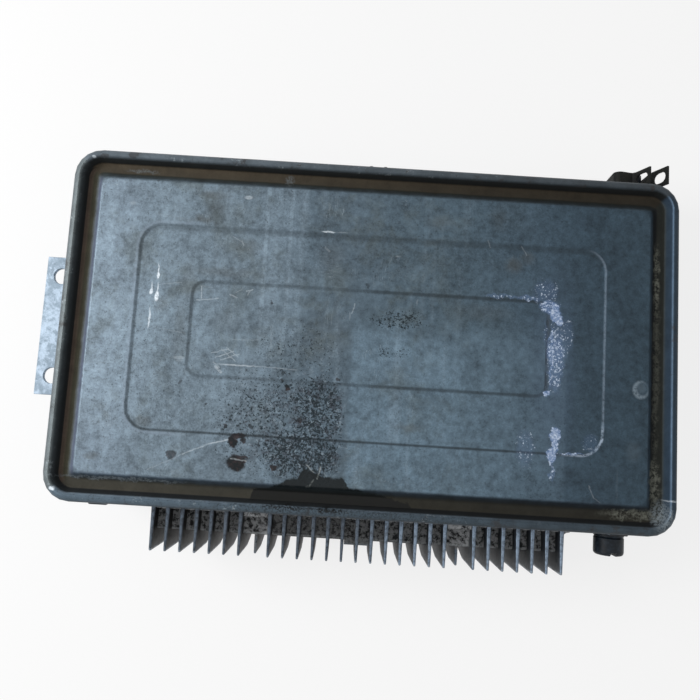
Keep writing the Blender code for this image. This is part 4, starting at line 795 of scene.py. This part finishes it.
def casting_finish():
    """The heat sink: black casting, rubbed bright on its edges and painted with highlights
    there, with grime on the shelf.
    """
    f = Finish("black_finned_casting")
    x = f.x / MM
    fine = f.noise(1.2, 5, 0.72)
    blotch = f.noise(7, 5, 0.68, 0.4)
    up = facing(f)
    colour = f.mix(blotch.rise(0.4, 0.68) * 0.8, paint(24, 24, 25), paint(50, 49, 48))
    right = x.rise(-6.0, 22.0)
    colour = f.mix(right * 0.45, colour, paint(58, 67, 77))

    on_shelf = f.z.between(0.0308, 0.0384, 0.0003) * up.rise(0.5, 0.8)
    grime = f.noise(1.7, 6, 0.8, 0.4, seed=0.3)
    dust = f.mix(grime.rise(0.42, 0.56), paint(28, 29, 30), paint(166, 168, 170))
    oily = x.between(-38.0, -6.0, 6.0).at_least(x.between(6.0, 22.0, 5.0) * 0.5)
    colour = f.mix(on_shelf * (0.9 - oily * 0.5), colour, dust)
    # Painted highlight: a bright broken line along the shelf's rounded outer edge
    edge = on_shelf * f.y.fall(-0.0830, -0.0824)
    colour = f.mix(edge * fine.rise(0.35, 0.6) * 0.7, colour, paint(176, 180, 182))

    # The fins' tops: painted highlights of their rounded near edges together with wear, stronger
    # towards the right
    tops = f.z.rise(0.0380, 0.0386) * up.rise(0.3, 0.7)
    low_tops = f.z.between(0.0310, 0.0325, 0.0004) * up.rise(0.3, 0.7)
    tops = tops.at_least(low_tops * f.y.fall(-0.0855, -0.0845))
    wear_and_highlight = (fine.rise(0.36, 0.58) * 0.7 + 0.3) * (0.4 + right * 0.6)
    colour = f.mix(tops * wear_and_highlight, colour, paint(132, 148, 166))
    nose = f.y.fall(-0.0912, -0.0905) * f.noise(5, 5, 0.7, seed=0.8).rise(0.38, 0.56)
    colour = f.mix(nose * 0.8, colour, paint(150, 158, 166))
    rough = 0.48 + (fine - 0.5) * 0.3 + on_shelf * 0.25 - oily * on_shelf * 0.3
    f.relief(fine * 0.6 + grime * on_shelf + blotch * 0.6, 0.6, 0.3 * MM)
    return f.surface(base_color=colour, roughness=rough, metallic=0.35)


def galvanised_finish():
    """Bright zinc with its spangle, dulled and stained in patches."""
    f = Finish("spangled_zinc")
    flake = f.node("ShaderNodeSeparateColor", None, {0: f.cells(2.6)}, "Green")
    cloud = f.noise(5, 6, 0.75, 0.4)
    fine = f.noise(0.9, 4, 0.7)
    colour = f.mix(flake * 0.6, paint(122, 137, 150), paint(146, 162, 176))
    colour = f.mix(cloud.rise(0.42, 0.58, 0.8), colour, paint(172, 188, 204))
    dull = f.noise(3, 5, 0.75, seed=0.3).rise(0.52, 0.62, 0.7)
    colour = f.mix(dull, colour, paint(112, 126, 138))
    colour = f.mix(fine.rise(0.56, 0.72) * 0.3, colour, paint(96, 104, 108))
    rust = f.noise(2.4, 5, 0.75, seed=0.6).rise(0.68, 0.75)
    colour = f.mix(rust * 0.5, colour, paint(96, 78, 60))
    f.relief(fine * 0.5 + cloud * 0.5, 0.4, 0.15 * MM)
    return f.surface(base_color=colour, roughness=0.4 + flake * 0.1 + fine * 0.15, metallic=0.45)


def moulding_finish(name, dark, pale, size):
    """Moulded plastic with dust in its grain."""
    f = Finish(name)
    cloud = f.noise(size, 5, 0.7)
    fine = f.noise(0.6, 3, 0.7)
    colour = f.mix(cloud.rise(0.42, 0.72) * 0.5, dark, pale)
    colour = f.mix(fine.rise(0.58, 0.74) * 0.2, colour, pale)
    f.relief(fine * 0.5 + cloud * 0.3, 0.35, 0.12 * MM)
    return f.surface(base_color=colour, roughness=0.3 + cloud * 0.25)


def strap_finish():
    """Thin blackened steel with brown rust coming through."""
    f = Finish("rusting_strap_steel")
    cloud = f.noise(4, 6, 0.72, 0.4)
    fine = f.noise(0.8, 4, 0.7)
    colour = f.mix(cloud.rise(0.42, 0.62), paint(16, 18, 19), paint(31, 32, 29))
    colour = f.mix(fine.rise(0.56, 0.7) * 0.3, colour, paint(64, 63, 52))
    f.relief(fine * 0.6 + cloud * 0.4, 0.5, 0.15 * MM)
    return f.surface(base_color=colour, roughness=0.5 + cloud * 0.25, metallic=0.2)


def tray_finish():
    """The tray's metal, like the cover's but greyer, with dirt low on its walls."""
    f = Finish("dull_tray_metal")
    mottle = f.noise(16, 8, 0.72)
    fine = f.noise(1.2, 5, 0.7)
    colour = f.dim(paint(98, 110, 120), 0.62 + mottle * 0.8)
    low = f.z.fall(0.001, 0.016) * f.noise(5, 6, 0.72, seed=0.4).rise(0.38, 0.58)
    colour = f.mix(low * 0.6, colour, paint(66, 61, 52))
    runs = f.noise(4, 4, 0.65, place=f.stretched(1.0, 1.0, 0.1), seed=0.2).rise(0.52, 0.66)
    colour = f.mix(runs * 0.35, colour, paint(58, 62, 64))
    colour = f.mix(fine.rise(0.55, 0.7) * 0.3, colour, paint(50, 58, 64))
    rough = 0.5 + (mottle - 0.5) * 0.3 + low * 0.25
    f.relief(fine * 0.5 + mottle * 1.2, 0.5, 0.3 * MM)
    return f.surface(base_color=colour, roughness=rough, metallic=0.5 - low * 0.4)


def bare_metal_finish(name, bright, dull, size):
    """Plated or turned metal with handling marks."""
    f = Finish(name)
    cloud = f.noise(size, 4, 0.65)
    colour = f.mix(cloud.rise(0.4, 0.7), bright, dull)
    f.relief(f.noise(0.4, 3, 0.7), 0.3, 0.05 * MM)
    return f.surface(base_color=colour, roughness=0.3 + cloud * 0.25, metallic=0.85)


def board_finish():
    """Lacquered laminate with a faint weave."""
    f = Finish("lacquered_laminate")
    cloth = f.maths("SINE", f.x * 5200) * f.maths("SINE", f.y * 5200)
    colour = f.mix(cloth * 0.25 + 0.3, paint(26, 74, 42), paint(44, 100, 58))
    f.relief(cloth, 0.2, 0.05 * MM)
    return f.surface(base_color=colour, roughness=0.32)


def dressed(node, finish, crease=35, round_edge=0.0):
    """The node's own shape with smooth curves and soft edges, in its finish."""
    mesh = frame["nodes"][node].data.copy()
    mesh.name = node + "_dressed"
    shape = bmesh.new()
    shape.from_mesh(mesh)
    bmesh.ops.remove_doubles(shape, verts=shape.verts, dist=0.002 * MM)
    bmesh.ops.dissolve_limit(
        shape, angle_limit=math.radians(0.4), verts=shape.verts, edges=shape.edges
    )
    shape.to_mesh(mesh)
    shape.free()
    if "custom_normal" in mesh.attributes:
        mesh.attributes.remove(mesh.attributes["custom_normal"])
    mesh.materials.clear()
    mesh.materials.append(finish)
    piece = bpy.data.objects.new(node + "_dressed", mesh)
    bpy.context.scene.collection.objects.link(piece)
    if round_edge:
        soft = piece.modifiers.new("rubbed_edges", "BEVEL")
        soft.width = round_edge
        soft.segments = 2
        soft.limit_method = "ANGLE"
        soft.angle_limit = math.radians(crease)
        soft.harden_normals = False
    mesh.shade_smooth()
    if not round_edge:
        mesh.set_sharp_from_angle(angle=math.radians(crease))
    level = piece.modifiers.new("flat_faces_stay_flat", "WEIGHTED_NORMAL")
    level.keep_sharp = True
    level.weight = 80
    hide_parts(node)
    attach(piece, "root")
    return piece


def dress_unit():
    cover = cover_finish()
    casting = casting_finish()
    zinc = galvanised_finish()
    tray = tray_finish()
    strap = strap_finish()
    black = moulding_finish("dusty_black_moulding", paint(16, 22, 29), paint(54, 65, 76), 2.4)
    chip = moulding_finish("chip_moulding", paint(28, 28, 30), paint(48, 48, 50), 4)
    rubber = moulding_finish("gasket_rubber", paint(24, 24, 24), paint(50, 48, 45), 5)
    sleeve = moulding_finish("capacitor_sleeve", paint(24, 40, 84), paint(40, 60, 108), 6)
    plated = bare_metal_finish("plated_steel", paint(176, 170, 150), paint(128, 122, 108), 2)
    contact = bare_metal_finish("contact_metal", paint(206, 176, 112), paint(160, 132, 84), 2)
    can = bare_metal_finish("drawn_can", paint(186, 188, 192), paint(148, 150, 154), 3)
    board = board_finish()

    dressed("top_cover", cover, 30)
    dressed("housing_tray", tray, 30)
    dressed("heat_sink", casting, 30, 0.15 * MM)
    dressed("mounting_bracket", zinc, 30, 0.2 * MM)
    dressed("trim_cap", black, 30)
    dressed("socket_shell", black, 30, 0.15 * MM)
    dressed("harness_clamp", strap, 40)
    shown = {
        "gasket_rubber": rubber,
        "plated_steel": plated,
        "contact_metal": contact,
        "component_can": can,
        "capacitor_sleeve": sleeve,
        "board_laminate": board,
        "chip_moulding": chip,
        "black_moulding": black,
        "galvanised": zinc,
    }
    slots = {entry["node"]: entry["material_slot"] for entry in frame["record"]["subparts"]}
    for name, node in frame["nodes"].items():
        finish = shown.get(slots[name])
        if finish is not None and not node.hide_render:
            node.data.materials.clear()
            node.data.materials.append(finish)


def add_floor():
    """A plain pale floor that shows white and keeps the unit's soft shadow."""
    bpy.ops.mesh.primitive_plane_add(size=FLOOR_SIZE, location=(0.0, 0.0, -FLOOR_DROP))
    floor = bpy.context.object
    floor.name = "studio_floor"
    f = Finish("white_floor")
    material = f.surface(base_color=(0.9, 0.9, 0.9), roughness=0.9)
    glow = f.node("ShaderNodeEmission", None, {"Color": (1.0, 1.0, 1.0), "Strength": 1.0})
    sockets = {0: f.seen_by_the_lens() * FLOOR_GLOW, 1: Wire(f, f.shader.outputs[0]), 2: glow}
    blend = f.node("ShaderNodeMixShader", None, sockets)
    f.feed(f.tree.nodes["Material Output"].inputs["Surface"], blend)
    floor.data.materials.append(material)


def add_lamp(name, place, size, power):
    lamp = bpy.data.lights.new(name, "AREA")
    lamp.shape = "SQUARE"
    lamp.size = size
    lamp.energy = power
    holder = bpy.data.objects.new(name, lamp)
    holder.location = place
    aim = Vector(LAMP_AIM) - Vector(place)
    holder.rotation_euler = aim.to_track_quat("-Z", "Y").to_euler()
    bpy.context.scene.collection.objects.link(holder)


def add_world():
    """A white sky at full strength for the lens and at SKY_LIGHT as light."""
    world = bpy.data.worlds.new("studio")
    bpy.context.scene.world = world
    world.use_nodes = True
    nodes = Nodes(world.node_tree)
    sky = nodes.tree.nodes["Background"]
    nodes.feed(sky.inputs["Color"], (1.0, 1.0, 1.0))
    strength = nodes.seen_by_the_lens() * (1.0 - SKY_LIGHT) + SKY_LIGHT
    nodes.feed(sky.inputs["Strength"], strength)


def add_camera():
    """The photograph's viewpoint, nearly straight above and a little to the heat sink's side."""
    lens = bpy.data.cameras.new("photo_view")
    lens.sensor_width = CAMERA_SENSOR
    lens.lens = CAMERA_LENS
    lens.clip_start = 0.01
    camera = bpy.data.objects.new("photo_view", lens)
    camera.location = CAMERA_PLACE
    camera.rotation_euler = tuple(math.radians(angle) for angle in CAMERA_TURN)
    bpy.context.scene.collection.objects.link(camera)
    bpy.context.scene.camera = camera


dress_unit()
add_floor()
for lamp in LAMPS:
    add_lamp(*lamp)
add_world()
add_camera()
bpy.context.scene.view_settings.view_transform = "Standard"
